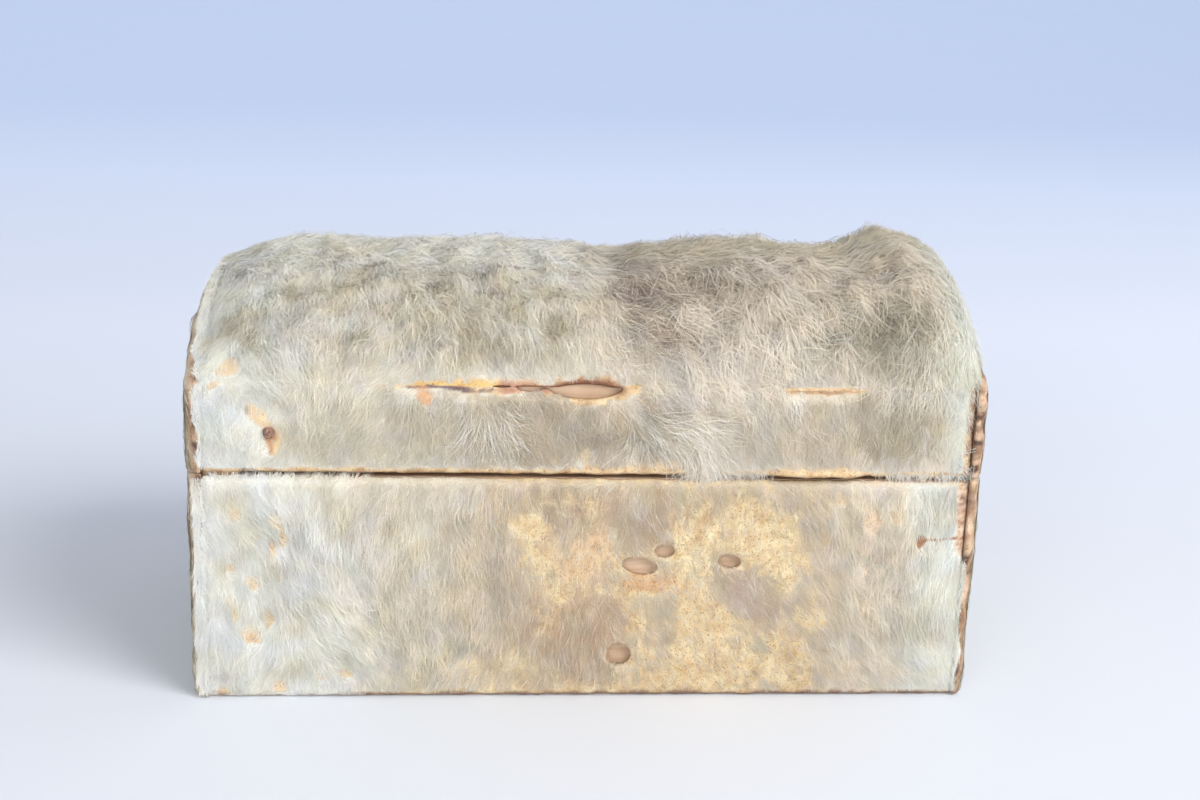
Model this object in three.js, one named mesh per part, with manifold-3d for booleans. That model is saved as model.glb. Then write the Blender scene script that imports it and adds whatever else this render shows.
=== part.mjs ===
// A small wooden box covered with raw hide, hair side out, with a domed lid that lifts off
// Millimetres, +Z up, the front faces -Y, the origin is the middle of the underside
import * as THREE from 'three';
import Module from 'manifold-3d';
import { mergeVertices } from 'three/addons/utils/BufferGeometryUtils.js';

const wasm = await Module();
wasm.setup();

// Wooden body
const woodLength = 214;
const woodDepth = 113;
const bodyHeight = 65.9;
const frontBoard = 6;
const endBoard = 7;
const bottomBoard = 6;
const rimDip = 0.5; // how far the front and back boards stop short of the rim that the lid rests on

// Wooden lid
const railHeight = 25; // straight part of the lid, from its underside to the ridge where the dome starts
const domeRise = 26.5;
const railBoard = 6;
const archBoard = 7;
const topBoard = 4;
const railShort = 0.3; // the rails hang this much less low than the lid's ends
const boardEndRound = 3; // worn rounding of the domed board at its two ends
const roundBlend = 12; // the rounding starts at the ridge and is full after this length of dome

// Clearance between pieces that touch
const fit = 0.3;

// Hide, one thickness of skin with the fur standing on it
const skin = 1.2;
const hideInset = 0.5; // the hide stops this far from the lower edge of the body
const seamInset = 0.2; // and this far from the edges of the wood along the seam
const endHideLap = 0.5; // the end hides stand this much past the skin of the front, back and top
const furDepth = 1.4; // laid fur beside a lock
const domeFur = 2.6; // extra fur on the dome, where it is thick
const endFur = 0.7;
const borderFade = 13; // fur thins out over this width along a hide's border
const borderFur = 0.25; // share of the fur that is left at the border

// Locks of fur, as a ridge that swells from its root and thins to its tip
const lockLength = 27;
const lockWidth = 12;
const lockHeight = 1.5;
const lockPitch = 11; // from lock to lock across the lay
const lockRow = 15; // from row to row along the lay
const lockScatter = 0.7; // share of the pitch that a lock may stray

// Puckered raw edge of the end hides
const puckerPitch = 13;
const leftPucker = 0.5;
const rightPucker = 1.8;
const puckerWidth = 4;

// Hide lip curled outwards at the lid's lower front edge, and the edge lifted with it
const lipCentre = 63;
const lipHalfLength = 15;
const lipCurl = 2.2;
const lipWidth = 5;

// Rusty tacks: head diameter, thickness, length and diameter of the shank
const tackHead = 3.2;
const tackHeadHeight = 1;
const tackShank = 7;
const tackShankWidth = 1.2;
const lidTackX = -88.7;
const lidTackAboveSeam = 11.8;
const bodyTackX = 92.3;
const bodyTackZ = 46.9;

// Steps of the meshes
const frontColumns = 42;
const frontRows = 14;
const backColumns = 24;
const backRows = 8;
const endColumns = 20;
const endRows = 11;
const archRows = 9;
const topColumns = 40;
const railRows = 5;
const cornerRows = 2;
const domeRows = 24;
const roundSteps = 2;
const tackSides = 12;
const holeSides = 20;

// Holes worn through the front hide to the wood: middle, size and tilt in degrees
const wornHoles = [
  { x: 13.9, z: 39.8, width: 10.5, height: 5.4, tilt: -10 },
  { x: 20.8, z: 44.3, width: 6, height: 4.4, tilt: 0 },
  { x: 39.4, z: 41.3, width: 7, height: 4.4, tilt: -8 },
  { x: 8.5, z: 13.1, width: 7.8, height: 7, tilt: 0 },
];

// Hole worn through the lid's hide along the ridge
const ridgeHoleX = -2;
const ridgeHoleLength = 17;
const ridgeHoleBelow = 2.6;
const ridgeHoleAbove = 2;

// Patches of thin or missing fur: middle, half sizes and how bare they are
const frontPatches = [
  { u: 26, v: 36, ru: 58, rv: 32, bare: 0.85 },
  { u: -98, v: 40, ru: 13, rv: 34, bare: 0.5 },
];
const topPatches = [
  { u: -91, v: 15, ru: 10, rv: 9, bare: 0.9 },
  { u: -24, v: 26, ru: 33, rv: 4, bare: 1 },
  { u: 62, v: 26, ru: 14, rv: 3, bare: 0.8 },
  { u: 5, v: 7, ru: 12, rv: 6, bare: 0.9 },
];

// Long locks on the lid: root, direction of the tip in degrees, length, width and height
const longLocks = [
  { u: 4, v: 62, turn: -62, length: 40, width: 13, height: 3 },
  { u: 22, v: 42, turn: -75, length: 38, width: 12, height: 2.6 },
  { u: 12, v: 27, turn: -52, length: 30, width: 12, height: 2.4 },
  { u: 34, v: 66, turn: -35, length: 40, width: 15, height: 2.6 },
  { u: 48, v: 34, turn: -60, length: 32, width: 13, height: 2 },
  { u: 70, v: 56, turn: -40, length: 34, width: 14, height: 2.2 },
  { u: -24, v: 58, turn: -105, length: 30, width: 13, height: 1.6 },
  { u: -62, v: 62, turn: -95, length: 30, width: 14, height: 1.4 },
];

// Swells and dips of the fur over the dome: middle, half length and height, all across the dome
const domeSwells = [
  { u: 7.5, half: 13, height: -2.6 },
  { u: 42, half: 26, height: 1.6 },
  { u: 86, half: 17, height: 1.8 },
  { u: -38, half: 34, height: 0.6 },
];

// Colours
const woodColour = 0xa9794a;
const furColour = 0xb9af96;
const rustColour = 0x5a3a2a;

// Worked out from the sizes above
const halfLength = woodLength / 2;
const halfDepth = woodDepth / 2;
const frontHeight = bodyHeight - rimDip;
const seam = bodyHeight + fit;
const railBottom = seam + railShort;
const ridge = seam + railHeight;
const domeRadius = (halfDepth ** 2 + domeRise ** 2) / (2 * domeRise);
const domeCentre = ridge + domeRise - domeRadius;
const domeAngle = Math.asin(halfDepth / domeRadius);
const cornerRun = fit + skin + furDepth;
const domeRun = 2 * domeAngle * domeRadius;
const sectionRun = 2 * (railHeight + cornerRun) + domeRun;
const crest = sectionRun / 2;
const faceLift = fit + skin;
const endReach = halfDepth + faceLift + endHideLap;

const group = new THREE.Group();
const { clamp, lerp, smoothstep, degToRad } = THREE.MathUtils;

// Closed solids

function addPiece(name, geometry, color, roughness, metalness = 0) {
  const material = new THREE.MeshStandardMaterial({ color, roughness, metalness, flatShading: true });
  const mesh = new THREE.Mesh(geometry, material);
  mesh.name = name;
  group.add(mesh);
  return mesh;
}

function addWood(name, geometry) {
  return addPiece(name, geometry, woodColour, 0.75);
}

function addHide(name, geometry) {
  return addPiece(name, geometry, furColour, 0.95);
}

// A board between two corners
function boardBetween(low, high) {
  const size = high.map((value, axis) => value - low[axis]);
  const middle = high.map((value, axis) => (value + low[axis]) / 2);
  return new THREE.BoxGeometry(...size).translate(...middle);
}

// A board of the given Y, Z outline, running along X from one place to another
function boardAlongX(outline, from, to) {
  const shape = new THREE.Shape(outline.map(([y, z]) => new THREE.Vector2(y, z)));
  const geometry = new THREE.ExtrudeGeometry(shape, { depth: to - from, bevelEnabled: false });
  const toYZ = new THREE.Matrix4().makeBasis(
    new THREE.Vector3(0, 1, 0),
    new THREE.Vector3(0, 0, 1),
    new THREE.Vector3(1, 0, 0),
  );
  return geometry.applyMatrix4(toYZ).translate(from, 0, 0);
}

function toManifold(geometry) {
  const bare = geometry.clone();
  bare.deleteAttribute('normal');
  bare.deleteAttribute('uv');
  const merged = mergeVertices(bare);
  return new wasm.Manifold(new wasm.Mesh({
    numProp: 3,
    vertProperties: new Float32Array(merged.attributes.position.array),
    triVerts: new Uint32Array(merged.index.array),
  }));
}

function fromManifold(solid) {
  const mesh = solid.getMesh();
  const geometry = new THREE.BufferGeometry();
  geometry.setAttribute('position', new THREE.BufferAttribute(new Float32Array(mesh.vertProperties), 3));
  geometry.setIndex(new THREE.BufferAttribute(new Uint32Array(mesh.triVerts), 1));
  geometry.computeVertexNormals();
  return geometry;
}

function cutFrom(geometry, cutters) {
  let solid = toManifold(geometry);
  for (const cutter of cutters) solid = solid.subtract(toManifold(cutter));
  return fromManifold(solid);
}

// A sheet with an outer and an inner face, each a grid of points over its own rows and columns of
// stations, and four edge walls that zip the two borders together however many points each has
function sheetSolid(outer, inner) {
  const positions = [];
  const triangles = [];
  const faces = [outer, inner].map(({ columns, rows, point }) => {
    const first = positions.length / 3;
    for (const v of rows) for (const u of columns) positions.push(...point(u, v));
    const at = (column, row) => first + row * columns.length + column;
    return { columns, rows, at };
  });
  faces.forEach(({ columns, rows, at }, side) => {
    for (let row = 0; row + 1 < rows.length; row += 1) {
      for (let column = 0; column + 1 < columns.length; column += 1) {
        const [a, b] = [at(column, row), at(column + 1, row)];
        const [c, d] = [at(column + 1, row + 1), at(column, row + 1)];
        if (side === 0) triangles.push(a, b, c, a, c, d);
        else triangles.push(a, c, b, a, d, c);
      }
    }
  });
  const borders = faces.map(({ columns, rows, at }) => {
    const lastColumn = columns.length - 1;
    const lastRow = rows.length - 1;
    const along = (stations, index) => stations.map((station, i) => ({ share: shareOf(stations, i), id: index(i) }));
    return [
      along(columns, (i) => at(i, 0)),
      along(rows, (i) => at(lastColumn, i)),
      along(columns, (i) => at(lastColumn - i, lastRow)),
      along(rows, (i) => at(0, lastRow - i)),
    ];
  });
  for (let edge = 0; edge < 4; edge += 1) zip(borders[0][edge], borders[1][edge], triangles);
  const geometry = new THREE.BufferGeometry();
  geometry.setAttribute('position', new THREE.Float32BufferAttribute(positions, 3));
  geometry.setIndex(triangles);
  geometry.computeVertexNormals();
  return geometry;
}

function shareOf(stations, i) {
  return (stations[i] - stations[0]) / (stations[stations.length - 1] - stations[0]);
}

function zip(outerLine, innerLine, triangles) {
  let i = 0;
  let j = 0;
  while (i + 1 < outerLine.length || j + 1 < innerLine.length) {
    const outerNext = i + 1 < outerLine.length ? outerLine[i + 1].share : Infinity;
    const innerNext = j + 1 < innerLine.length ? innerLine[j + 1].share : Infinity;
    if (outerNext <= innerNext) {
      triangles.push(outerLine[i + 1].id, outerLine[i].id, innerLine[j].id);
      i += 1;
    } else {
      triangles.push(outerLine[i].id, innerLine[j].id, innerLine[j + 1].id);
      j += 1;
    }
  }
}

function stations(from, to, steps) {
  return Array.from({ length: steps + 1 }, (_, i) => lerp(from, to, i / steps));
}

// Section of the lid, from its lower front edge over the dome to its lower back edge

function lidSection(s) {
  const run = crest - Math.abs(s - crest);
  const side = s < crest ? -1 : 1;
  let angle = Math.PI / 2;
  let y = halfDepth;
  let z = seam + run;
  if (run > railHeight + cornerRun) {
    angle = domeAngle - (run - railHeight - cornerRun) / domeRadius;
    y = domeRadius * Math.sin(angle);
    z = domeCentre + domeRadius * Math.cos(angle);
  } else if (run > railHeight) {
    angle = lerp(Math.PI / 2, domeAngle, (run - railHeight) / cornerRun);
    z = ridge;
  }
  return { y: side * y, z, ny: side * Math.sin(angle), nz: Math.cos(angle) };
}

// 0 on the rails and the ridge, growing to 1 on the dome
function onDome(s) {
  const run = crest - Math.abs(s - crest);
  return smoothstep(run - railHeight - cornerRun, 0, roundBlend);
}

// How far the rounded ends of the domed board drop below its even section
function endDrop(x) {
  const into = clamp(Math.abs(x) - (halfLength - boardEndRound), 0, boardEndRound);
  return boardEndRound - Math.sqrt(boardEndRound ** 2 - into ** 2);
}

function overLid(x, s, lift) {
  const { y, z, ny, nz } = lidSection(s);
  const height = lift - endDrop(x) * onDome(s);
  return [x, y + ny * height, z + nz * height];
}

// Columns that follow the rounded ends, with evenly spaced ones between
function roundedColumns(steps) {
  const start = halfLength - boardEndRound;
  const rounding = stations(0, Math.PI / 2, roundSteps).map((angle) => start + boardEndRound * Math.sin(angle));
  const left = rounding.map((x) => -x).reverse();
  const middle = stations(-start, start, steps).slice(1, -1);
  return [...left, ...middle, ...rounding];
}

const sectionRows = [
  ...stations(railShort + seamInset, railHeight, railRows),
  ...stations(railHeight, railHeight + cornerRun, cornerRows).slice(1),
  ...stations(railHeight + cornerRun, sectionRun - railHeight - cornerRun, domeRows).slice(1),
  ...stations(sectionRun - railHeight - cornerRun, sectionRun - railHeight, cornerRows).slice(1),
  ...stations(sectionRun - railHeight, sectionRun - railShort - seamInset, railRows).slice(1),
];

// Fur

// A repeatable number from 0 to 1 for three whole numbers
function scatter(i, j, k) {
  const wave = Math.sin(i * 127.1 + j * 311.7 + k * 74.7) * 43758.5453;
  return wave - Math.floor(wave);
}

// Locks in staggered rows over a hide, each lying along the lay of the hair at its root
function growLocks({ left, right, low, high, seed, lay }) {
  const locks = [];
  const columns = Math.round((right - left) / lockPitch);
  const rows = Math.round((high - low) / lockRow);
  for (let row = 0; row < rows; row += 1) {
    for (let column = 0; column < columns; column += 1) {
      const stray = (k) => (scatter(column, row, seed + k) - 0.5) * lockScatter;
      const u = left + (column + 0.5 + (row % 2 - 0.5) / 2 + stray(1)) * lockPitch;
      const v = low + (row + 1 + stray(2)) * lockRow;
      const turn = lay(u, v) + degToRad(40 * stray(3));
      const size = 1 + stray(4) / 2;
      locks.push(lock(u, v, turn, lockLength * size, lockWidth * size, lockHeight * size));
    }
  }
  return locks;
}

function lock(u, v, turn, length, width, height) {
  return { u, v, along: [Math.cos(turn), Math.sin(turn)], length, halfWidth: width / 2, height };
}

// Height of a lock: round across, swelling fast from the root and thinning slowly to the tip
function lockAt({ u, v, along, length, halfWidth, height }, atU, atV) {
  const share = ((atU - u) * along[0] + (atV - v) * along[1]) / length;
  const across = ((atV - v) * along[0] - (atU - u) * along[1]) / halfWidth;
  if (share <= 0 || share >= 1 || Math.abs(across) >= 1) return 0;
  return height * (1 - across ** 2) * Math.sin(Math.PI * Math.sqrt(share));
}

// 1 in the middle of a patch, falling to 0 at its outline
function patchAt({ u, v, ru, rv }, atU, atV) {
  return 1 - smoothstep(Math.hypot((atU - u) / ru, (atV - v) / rv), 0.6, 1.1);
}

// Thickness of a hide at a point: the skin, and the fur on it where there is fur
function hideThickness(hide, u, v) {
  const border = Math.min(u - hide.left, hide.right - u, v - hide.low, hide.high - v);
  const fade = lerp(borderFur, 1, smoothstep(border, 0, borderFade));
  const covered = hide.patches.reduce((share, patch) => share * (1 - patch.bare * patchAt(patch, u, v)), 1);
  const raised = hide.locks.reduce((height, one) => Math.max(height, lockAt(one, u, v)), 0);
  return skin + Math.max(0, (hide.fur(u, v) + raised) * fade * covered);
}

function makeHide(hide) {
  return { ...hide, locks: [...growLocks(hide), ...(hide.longLocks ?? [])] };
}

// Down the face of the box, leaning one way or the other from place to place
function layDown(u, v) {
  return degToRad(-90 + 22 * Math.sin(u / 31) + 12 * Math.sin(v / 17 + u / 53));
}

// Down the front, round to the side over the crest and down the back
function layOverLid(u, v) {
  const turned = 180 * smoothstep(v, crest - 38, crest + 38);
  const sweep = u > 0 ? 30 * smoothstep(v, railHeight, crest) : 0;
  return degToRad(-90 + turned) + degToRad(sweep + 14 * Math.sin(u / 27 + v / 19));
}

// The raw edge of an end hide stands up in puckers that die away inwards, where the short fur begins
function endFurAt(distance, along, pucker) {
  const wave = 0.5 + 0.5 * Math.sin((2 * Math.PI * along) / puckerPitch);
  const inside = smoothstep(distance, 0, puckerWidth);
  return pucker * wave * (1 - inside) + endFur * inside;
}

// Body: five boards

addWood('bottom_board', boardBetween(
  [-(halfLength - endBoard - fit), -(halfDepth - frontBoard - fit), 0],
  [halfLength - endBoard - fit, halfDepth - frontBoard - fit, bottomBoard],
));

for (const [name, side] of [['left_end_board', -1], ['right_end_board', 1]]) {
  const xs = [side * (halfLength - endBoard), side * halfLength].sort((a, b) => a - b);
  const reach = halfDepth - frontBoard - fit;
  addWood(name, boardBetween([xs[0], -reach, 0], [xs[1], reach, bodyHeight]));
}

// A tack pointing into the wood from a face that looks along -Y, its head seated on the hide
function tackShape() {
  const profile = [
    [0, -tackShank],
    [tackShankWidth / 4, -tackShank],
    [tackShankWidth / 2, 0],
    [tackHead / 2, 0],
    [tackHead / 2, tackHeadHeight / 3],
    [tackHead / 3, tackHeadHeight * 0.8],
    [0, tackHeadHeight],
  ].map(([radius, height]) => new THREE.Vector2(radius, height));
  return new THREE.LatheGeometry(profile, tackSides).rotateX(Math.PI);
}

function tackHole(x, z) {
  const width = tackShankWidth + 2 * fit;
  const depth = 2 * (tackShank + fit);
  return new THREE.CylinderGeometry(width / 2, width / 2, depth, tackSides).translate(x, -halfDepth, z);
}

// The head lies in a pit pressed into the fur, down to the skin
function tackPit(x, z) {
  const width = tackHead + 4 * fit;
  const depth = 2 * (furDepth + lockHeight + domeFur);
  const seat = halfDepth + faceLift + depth / 2 + fit / 2;
  return new THREE.CylinderGeometry(width / 2, width / 2, depth, tackSides).translate(x, -seat, z);
}

const tacks = [
  { name: 'lid_front_tack', x: lidTackX, z: seam + lidTackAboveSeam, onLid: true },
  { name: 'body_front_tack', x: bodyTackX, z: bodyTackZ, onLid: false },
];

for (const { name, x, z } of tacks) {
  const tack = addPiece(name, tackShape(), rustColour, 0.8, 0.4);
  tack.position.set(x, -(halfDepth + faceLift + fit), z);
}

function tackCutters(onLid) {
  const here = tacks.filter((tack) => tack.onLid === onLid);
  return here.flatMap(({ x, z }) => [tackHole(x, z), tackPit(x, z)]);
}

const frontLow = [-halfLength, -halfDepth, 0];
const frontHigh = [halfLength, -(halfDepth - frontBoard), frontHeight];
addWood('front_board', cutFrom(boardBetween(frontLow, frontHigh), tackCutters(false)));
addWood('back_board', boardBetween(
  [-halfLength, halfDepth - frontBoard, 0],
  [halfLength, halfDepth, frontHeight],
));

// Lid: two rails, two arched ends and a bent board over them

// Points of the arc that the domed board lies on, between two distances from the middle
function underBoardArc(fromY, toY, steps) {
  const radius = domeRadius - topBoard - fit;
  return stations(fromY, toY, steps).map((y) => [y, domeCentre + Math.sqrt(radius ** 2 - y ** 2)]);
}

function railOutline(side) {
  const inner = halfDepth - railBoard;
  const top = underBoardArc(halfDepth, inner, cornerRows);
  const outline = [[inner, railBottom], [halfDepth, railBottom], ...top];
  return side > 0 ? outline : outline.map(([y, z]) => [-y, z]).reverse();
}

addWood('lid_front_rail', cutFrom(boardAlongX(railOutline(-1), -halfLength, halfLength), tackCutters(true)));
addWood('lid_back_rail', boardAlongX(railOutline(1), -halfLength, halfLength));

const archReach = halfDepth - railBoard - fit;
const archOutline = [
  [-archReach, seam],
  [archReach, seam],
  ...underBoardArc(archReach, -archReach, domeRows),
];
addWood('lid_left_end', boardAlongX(archOutline, -halfLength, -(halfLength - archBoard)));
addWood('lid_right_end', boardAlongX(archOutline, halfLength - archBoard, halfLength));

const underRadius = domeRadius - topBoard;
const underAngle = Math.asin(halfDepth / underRadius);
const boardRows = stations(-1, 1, domeRows);
addWood('lid_top_board', sheetSolid(
  {
    columns: roundedColumns(1),
    rows: boardRows,
    point: (x, share) => overLid(x, crest + (share * domeRun) / 2, 0),
  },
  {
    columns: [-halfLength, halfLength],
    rows: boardRows,
    point: (x, share) => [
      x,
      underRadius * Math.sin(share * underAngle),
      domeCentre + underRadius * Math.cos(share * underAngle),
    ],
  },
));

// Body hides

const hideLow = hideInset;
const hideHigh = frontHeight - seamInset;

function flatHide(hide, columns, rows, place) {
  return sheetSolid(
    {
      columns: stations(hide.left, hide.right, columns),
      rows: stations(hide.low, hide.high, rows),
      point: (u, v) => place(u, v, fit + hideThickness(hide, u, v)),
    },
    {
      columns: [hide.left, hide.right],
      rows: [hide.low, hide.high],
      point: (u, v) => place(u, v, fit),
    },
  );
}

const facePanel = { left: -halfLength, right: halfLength, low: hideLow, high: hideHigh };
const frontHide = makeHide({
  ...facePanel,
  seed: 1,
  lay: layDown,
  fur: () => furDepth,
  patches: frontPatches,
});
const backHide = makeHide({ ...facePanel, seed: 11, lay: layDown, fur: () => furDepth, patches: [] });

// An upright oval plug through a hide on the front
function ovalThrough({ x, z, width, height, tilt }, from, to) {
  const outline = new THREE.Shape();
  outline.absellipse(0, 0, width / 2, height / 2, 0, 2 * Math.PI);
  const options = { depth: to - from, bevelEnabled: false, curveSegments: holeSides };
  const plug = new THREE.ExtrudeGeometry(outline, options).rotateZ(degToRad(tilt));
  return plug.rotateX(Math.PI / 2).translate(x, -from, z);
}

const hideOut = halfDepth + faceLift + furDepth + lockHeight + domeFur + lipCurl;
const frontHoles = wornHoles.map((hole) => ovalThrough(hole, halfDepth + fit / 2, hideOut));
const frontSheet = flatHide(frontHide, frontColumns, frontRows, (u, v, lift) => [u, -(halfDepth + lift), v]);
addHide('body_front_hide', cutFrom(frontSheet, [...frontHoles, ...tackCutters(false)]));
addHide('body_back_hide', flatHide(backHide, backColumns, backRows, (u, v, lift) => [-u, halfDepth + lift, v]));

// End hides, over the edges of the front and back hides, with a puckered raw edge

const endSides = [
  { hand: 'left', side: -1, pucker: leftPucker, seed: 21 },
  { hand: 'right', side: 1, pucker: rightPucker, seed: 31 },
];

// Thickness of an end hide at a point of its face, the raw edge being thicker than its fade allows
function endThickness(hide, pucker, distance, u, v) {
  return hideThickness(hide, u, v) + endFurAt(distance, u + v, pucker);
}

const endPanel = { left: -endReach, right: endReach, low: hideLow, high: bodyHeight - seamInset };

for (const { hand, side, pucker, seed } of endSides) {
  const hide = makeHide({ ...endPanel, seed, lay: layDown, fur: () => 0, patches: [] });
  const place = (u, v, lift) => [side * (halfLength + lift), side * u, v];
  addHide(`body_${hand}_hide`, sheetSolid(
    {
      columns: stations(endPanel.left, endPanel.right, endColumns),
      rows: stations(endPanel.low, endPanel.high, endRows),
      point: (u, v) => place(u, v, fit + endThickness(hide, pucker, endReach - Math.abs(u), u, v)),
    },
    {
      columns: [endPanel.left, endPanel.right],
      rows: [endPanel.low, endPanel.high],
      point: (u, v) => place(u, v, fit),
    },
  ));
}

// Outline of an end of the lid, outside the wood at the ridge and inside its rounding on the dome
function archOutlineAt(s) {
  const { y, z, ny, nz } = lidSection(s);
  const lift = faceLift + endHideLap - boardEndRound * onDome(s);
  return { y: y + ny * lift, z: z + nz * lift };
}

const archLow = seam + seamInset;
const archPanel = { left: -endReach, right: endReach, low: archLow, high: archOutlineAt(crest).z };
const archColumns = stations(railHeight, sectionRun - railHeight, endColumns);

for (const { hand, side, pucker, seed } of endSides) {
  const hide = makeHide({ ...archPanel, seed: seed + endSides.length, lay: layDown, fur: () => 0, patches: [] });
  const face = (s, share, thickness) => {
    const top = archOutlineAt(s);
    const v = lerp(archLow, top.z, share);
    const distance = Math.min(endReach - Math.abs(top.y), top.z - v);
    return [side * (halfLength + fit + thickness(side * top.y, v, distance)), top.y, v];
  };
  const columns = side > 0 ? archColumns : [...archColumns].reverse();
  addHide(`lid_${hand}_hide`, sheetSolid(
    {
      columns,
      rows: stations(0, 1, archRows),
      point: (s, share) => face(s, share, (u, v, distance) => endThickness(hide, pucker, distance, u, v)),
    },
    {
      columns,
      rows: [0, 1],
      point: (s, share) => face(s, share, () => 0),
    },
  ));
}

// Lid hide: one sheet up the front rail, over the dome and down the back rail

function swellAt({ u, half, height }, atU) {
  return height * (1 - smoothstep(Math.abs(atU - u), 0, half));
}

function domeFurAt(u, v) {
  const swells = domeSwells.reduce((sum, swell) => sum + swellAt(swell, u), 0);
  return furDepth + (domeFur + swells) * onDome(v);
}

function lipAt(u, v) {
  const along = 1 - smoothstep(Math.abs(u - lipCentre), lipHalfLength / 2, lipHalfLength);
  return along * (1 - smoothstep(v, railShort, railShort + lipWidth));
}

const lidHide = makeHide({
  left: -halfLength,
  right: halfLength,
  low: sectionRows[0],
  high: sectionRows[sectionRows.length - 1],
  seed: 61,
  lay: layOverLid,
  fur: domeFurAt,
  patches: topPatches,
  longLocks: longLocks.map(({ u, v, turn, length, width, height }) => (
    lock(u, v, degToRad(turn), length, width, height)
  )),
});

const lidSheet = sheetSolid(
  {
    columns: roundedColumns(topColumns),
    rows: sectionRows,
    point: (u, v) => overLid(u, v, fit + hideThickness(lidHide, u, v) + lipCurl * lipAt(u, v)),
  },
  {
    columns: roundedColumns(1),
    rows: sectionRows,
    point: (u, v) => overLid(u, v, fit),
  },
);

const ridgeHole = ovalThrough(
  {
    x: ridgeHoleX,
    z: ridge + (ridgeHoleAbove - ridgeHoleBelow) / 2,
    width: ridgeHoleLength,
    height: ridgeHoleAbove + ridgeHoleBelow,
    tilt: 0,
  },
  halfDepth - railBoard,
  hideOut,
);
addHide('lid_top_hide', cutFrom(lidSheet, [ridgeHole, ...tackCutters(true)]));

export default group;
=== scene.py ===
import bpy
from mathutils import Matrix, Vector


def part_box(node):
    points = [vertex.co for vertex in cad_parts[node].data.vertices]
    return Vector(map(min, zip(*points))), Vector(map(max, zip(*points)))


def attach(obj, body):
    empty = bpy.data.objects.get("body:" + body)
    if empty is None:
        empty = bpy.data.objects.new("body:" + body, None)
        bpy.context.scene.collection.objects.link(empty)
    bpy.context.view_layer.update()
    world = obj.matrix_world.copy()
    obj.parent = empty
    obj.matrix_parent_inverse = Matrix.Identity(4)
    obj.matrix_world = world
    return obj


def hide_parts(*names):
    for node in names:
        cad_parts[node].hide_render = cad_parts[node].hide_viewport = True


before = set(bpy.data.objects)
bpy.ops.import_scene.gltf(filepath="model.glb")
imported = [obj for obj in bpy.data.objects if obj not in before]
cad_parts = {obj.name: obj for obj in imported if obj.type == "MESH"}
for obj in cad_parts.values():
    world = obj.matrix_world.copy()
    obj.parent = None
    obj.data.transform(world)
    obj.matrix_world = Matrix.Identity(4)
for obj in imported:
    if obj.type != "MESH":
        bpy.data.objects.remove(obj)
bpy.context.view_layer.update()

from types import SimpleNamespace

import bpy
import numpy as np
from mathutils import Matrix, Vector

# Camera
# It looks a little down on the front of the box, from left of its middle and about half a metre off,
# and leans by under two degrees, as a camera held by hand does.
EYE = Vector((-0.0298, -0.4563, 0.1877))
LOOK_DOWN, LOOK_RIGHT, LEAN = np.radians((14.0, 4.46, 1.72))
LENS_MM = 45.0
SENSOR_MM = 36.0

forward = Vector((
    np.sin(LOOK_RIGHT) * np.cos(LOOK_DOWN), np.cos(LOOK_RIGHT) * np.cos(LOOK_DOWN), -np.sin(LOOK_DOWN)
))
level = Vector((np.cos(LOOK_RIGHT), -np.sin(LOOK_RIGHT), 0))
upright = level.cross(forward)
side_axis = np.cos(LEAN) * level + np.sin(LEAN) * upright
up_axis = np.cos(LEAN) * upright - np.sin(LEAN) * level
camera = bpy.data.objects.new("camera", bpy.data.cameras.new("camera"))
camera.data.lens = LENS_MM
camera.data.sensor_width = SENSOR_MM
camera.matrix_world = Matrix.Translation(EYE) @ Matrix((side_axis, up_axis, -forward)).transposed().to_4x4()
bpy.context.collection.objects.link(camera)
bpy.context.scene.camera = camera


# Floor and light
# A pale table top that runs back and sweeps up into a wall. It glows a little, bluer far off, as the
# bright room behind does. A big soft light stands at the right in front, a low one at the left, and a
# pale sky lights the rest.
FLOOR_HALF = 40.0
SWEEP_RADIUS = 2.0
SWEEP_START = 3.0
SWEEP_PARTS = 24
FLOOR_TONE = (233, 239, 249)
GLOW_FADE = (-0.15, 6.0)  # metres back and up, added together
GLOW_TONES = ((0.03, (0, 0, 0)), (0.1, (88, 94, 114)), (0.25, (104, 119, 148)), (1.0, (58, 96, 146)))
SKY = (184, 185, 188)
SKY_STRENGTH = 1.0
BOX_MIDDLE = Vector((0, 0, 0.06))
LIGHTS = (
    ("key", (1.25, -1.12, 1.2), 1.3, 35.5, (255, 252, 248)),
    ("front", (-0.9, -1.5, 0.35), 0.9, 10.5, (255, 254, 251)),
)


def colour(r, g, b):
    """A colour as a painter would read it off, 0 to 255 for each of red, green and blue, made linear."""
    share = np.array((r, g, b), float) / 255
    return np.where(share <= 0.04045, share / 12.92, ((share + 0.055) / 1.055) ** 2.4)


def paint(rgb):
    """The same with an opacity of 1, as the nodes want it."""
    return (*colour(*rgb), 1.0)


def new_material(name, roughness):
    """A new material, with its node tree and its shader."""
    material = bpy.data.materials.new(name)
    material.use_nodes = True
    shader = material.node_tree.nodes["Principled BSDF"]
    shader.inputs["Roughness"].default_value = roughness
    return material, material.node_tree, shader


def add(tree, kind, outlet=0, **inlets):
    """Adds a node, sets or links its inlets by name, with _ for a space, and gives one outlet."""
    node = tree.nodes.new(kind)
    for name, value in inlets.items():
        socket = name.replace("_", " ")
        if hasattr(node, name) and name not in ("color", "inputs"):
            setattr(node, name, value)
            continue
        target = node.inputs[int(name[1:])] if name[0] == "i" and name[1:].isdigit() else node.inputs[socket]
        if isinstance(value, bpy.types.NodeSocket):
            tree.links.new(value, target)
        else:
            target.default_value = value
    return node.outputs[outlet]


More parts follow.
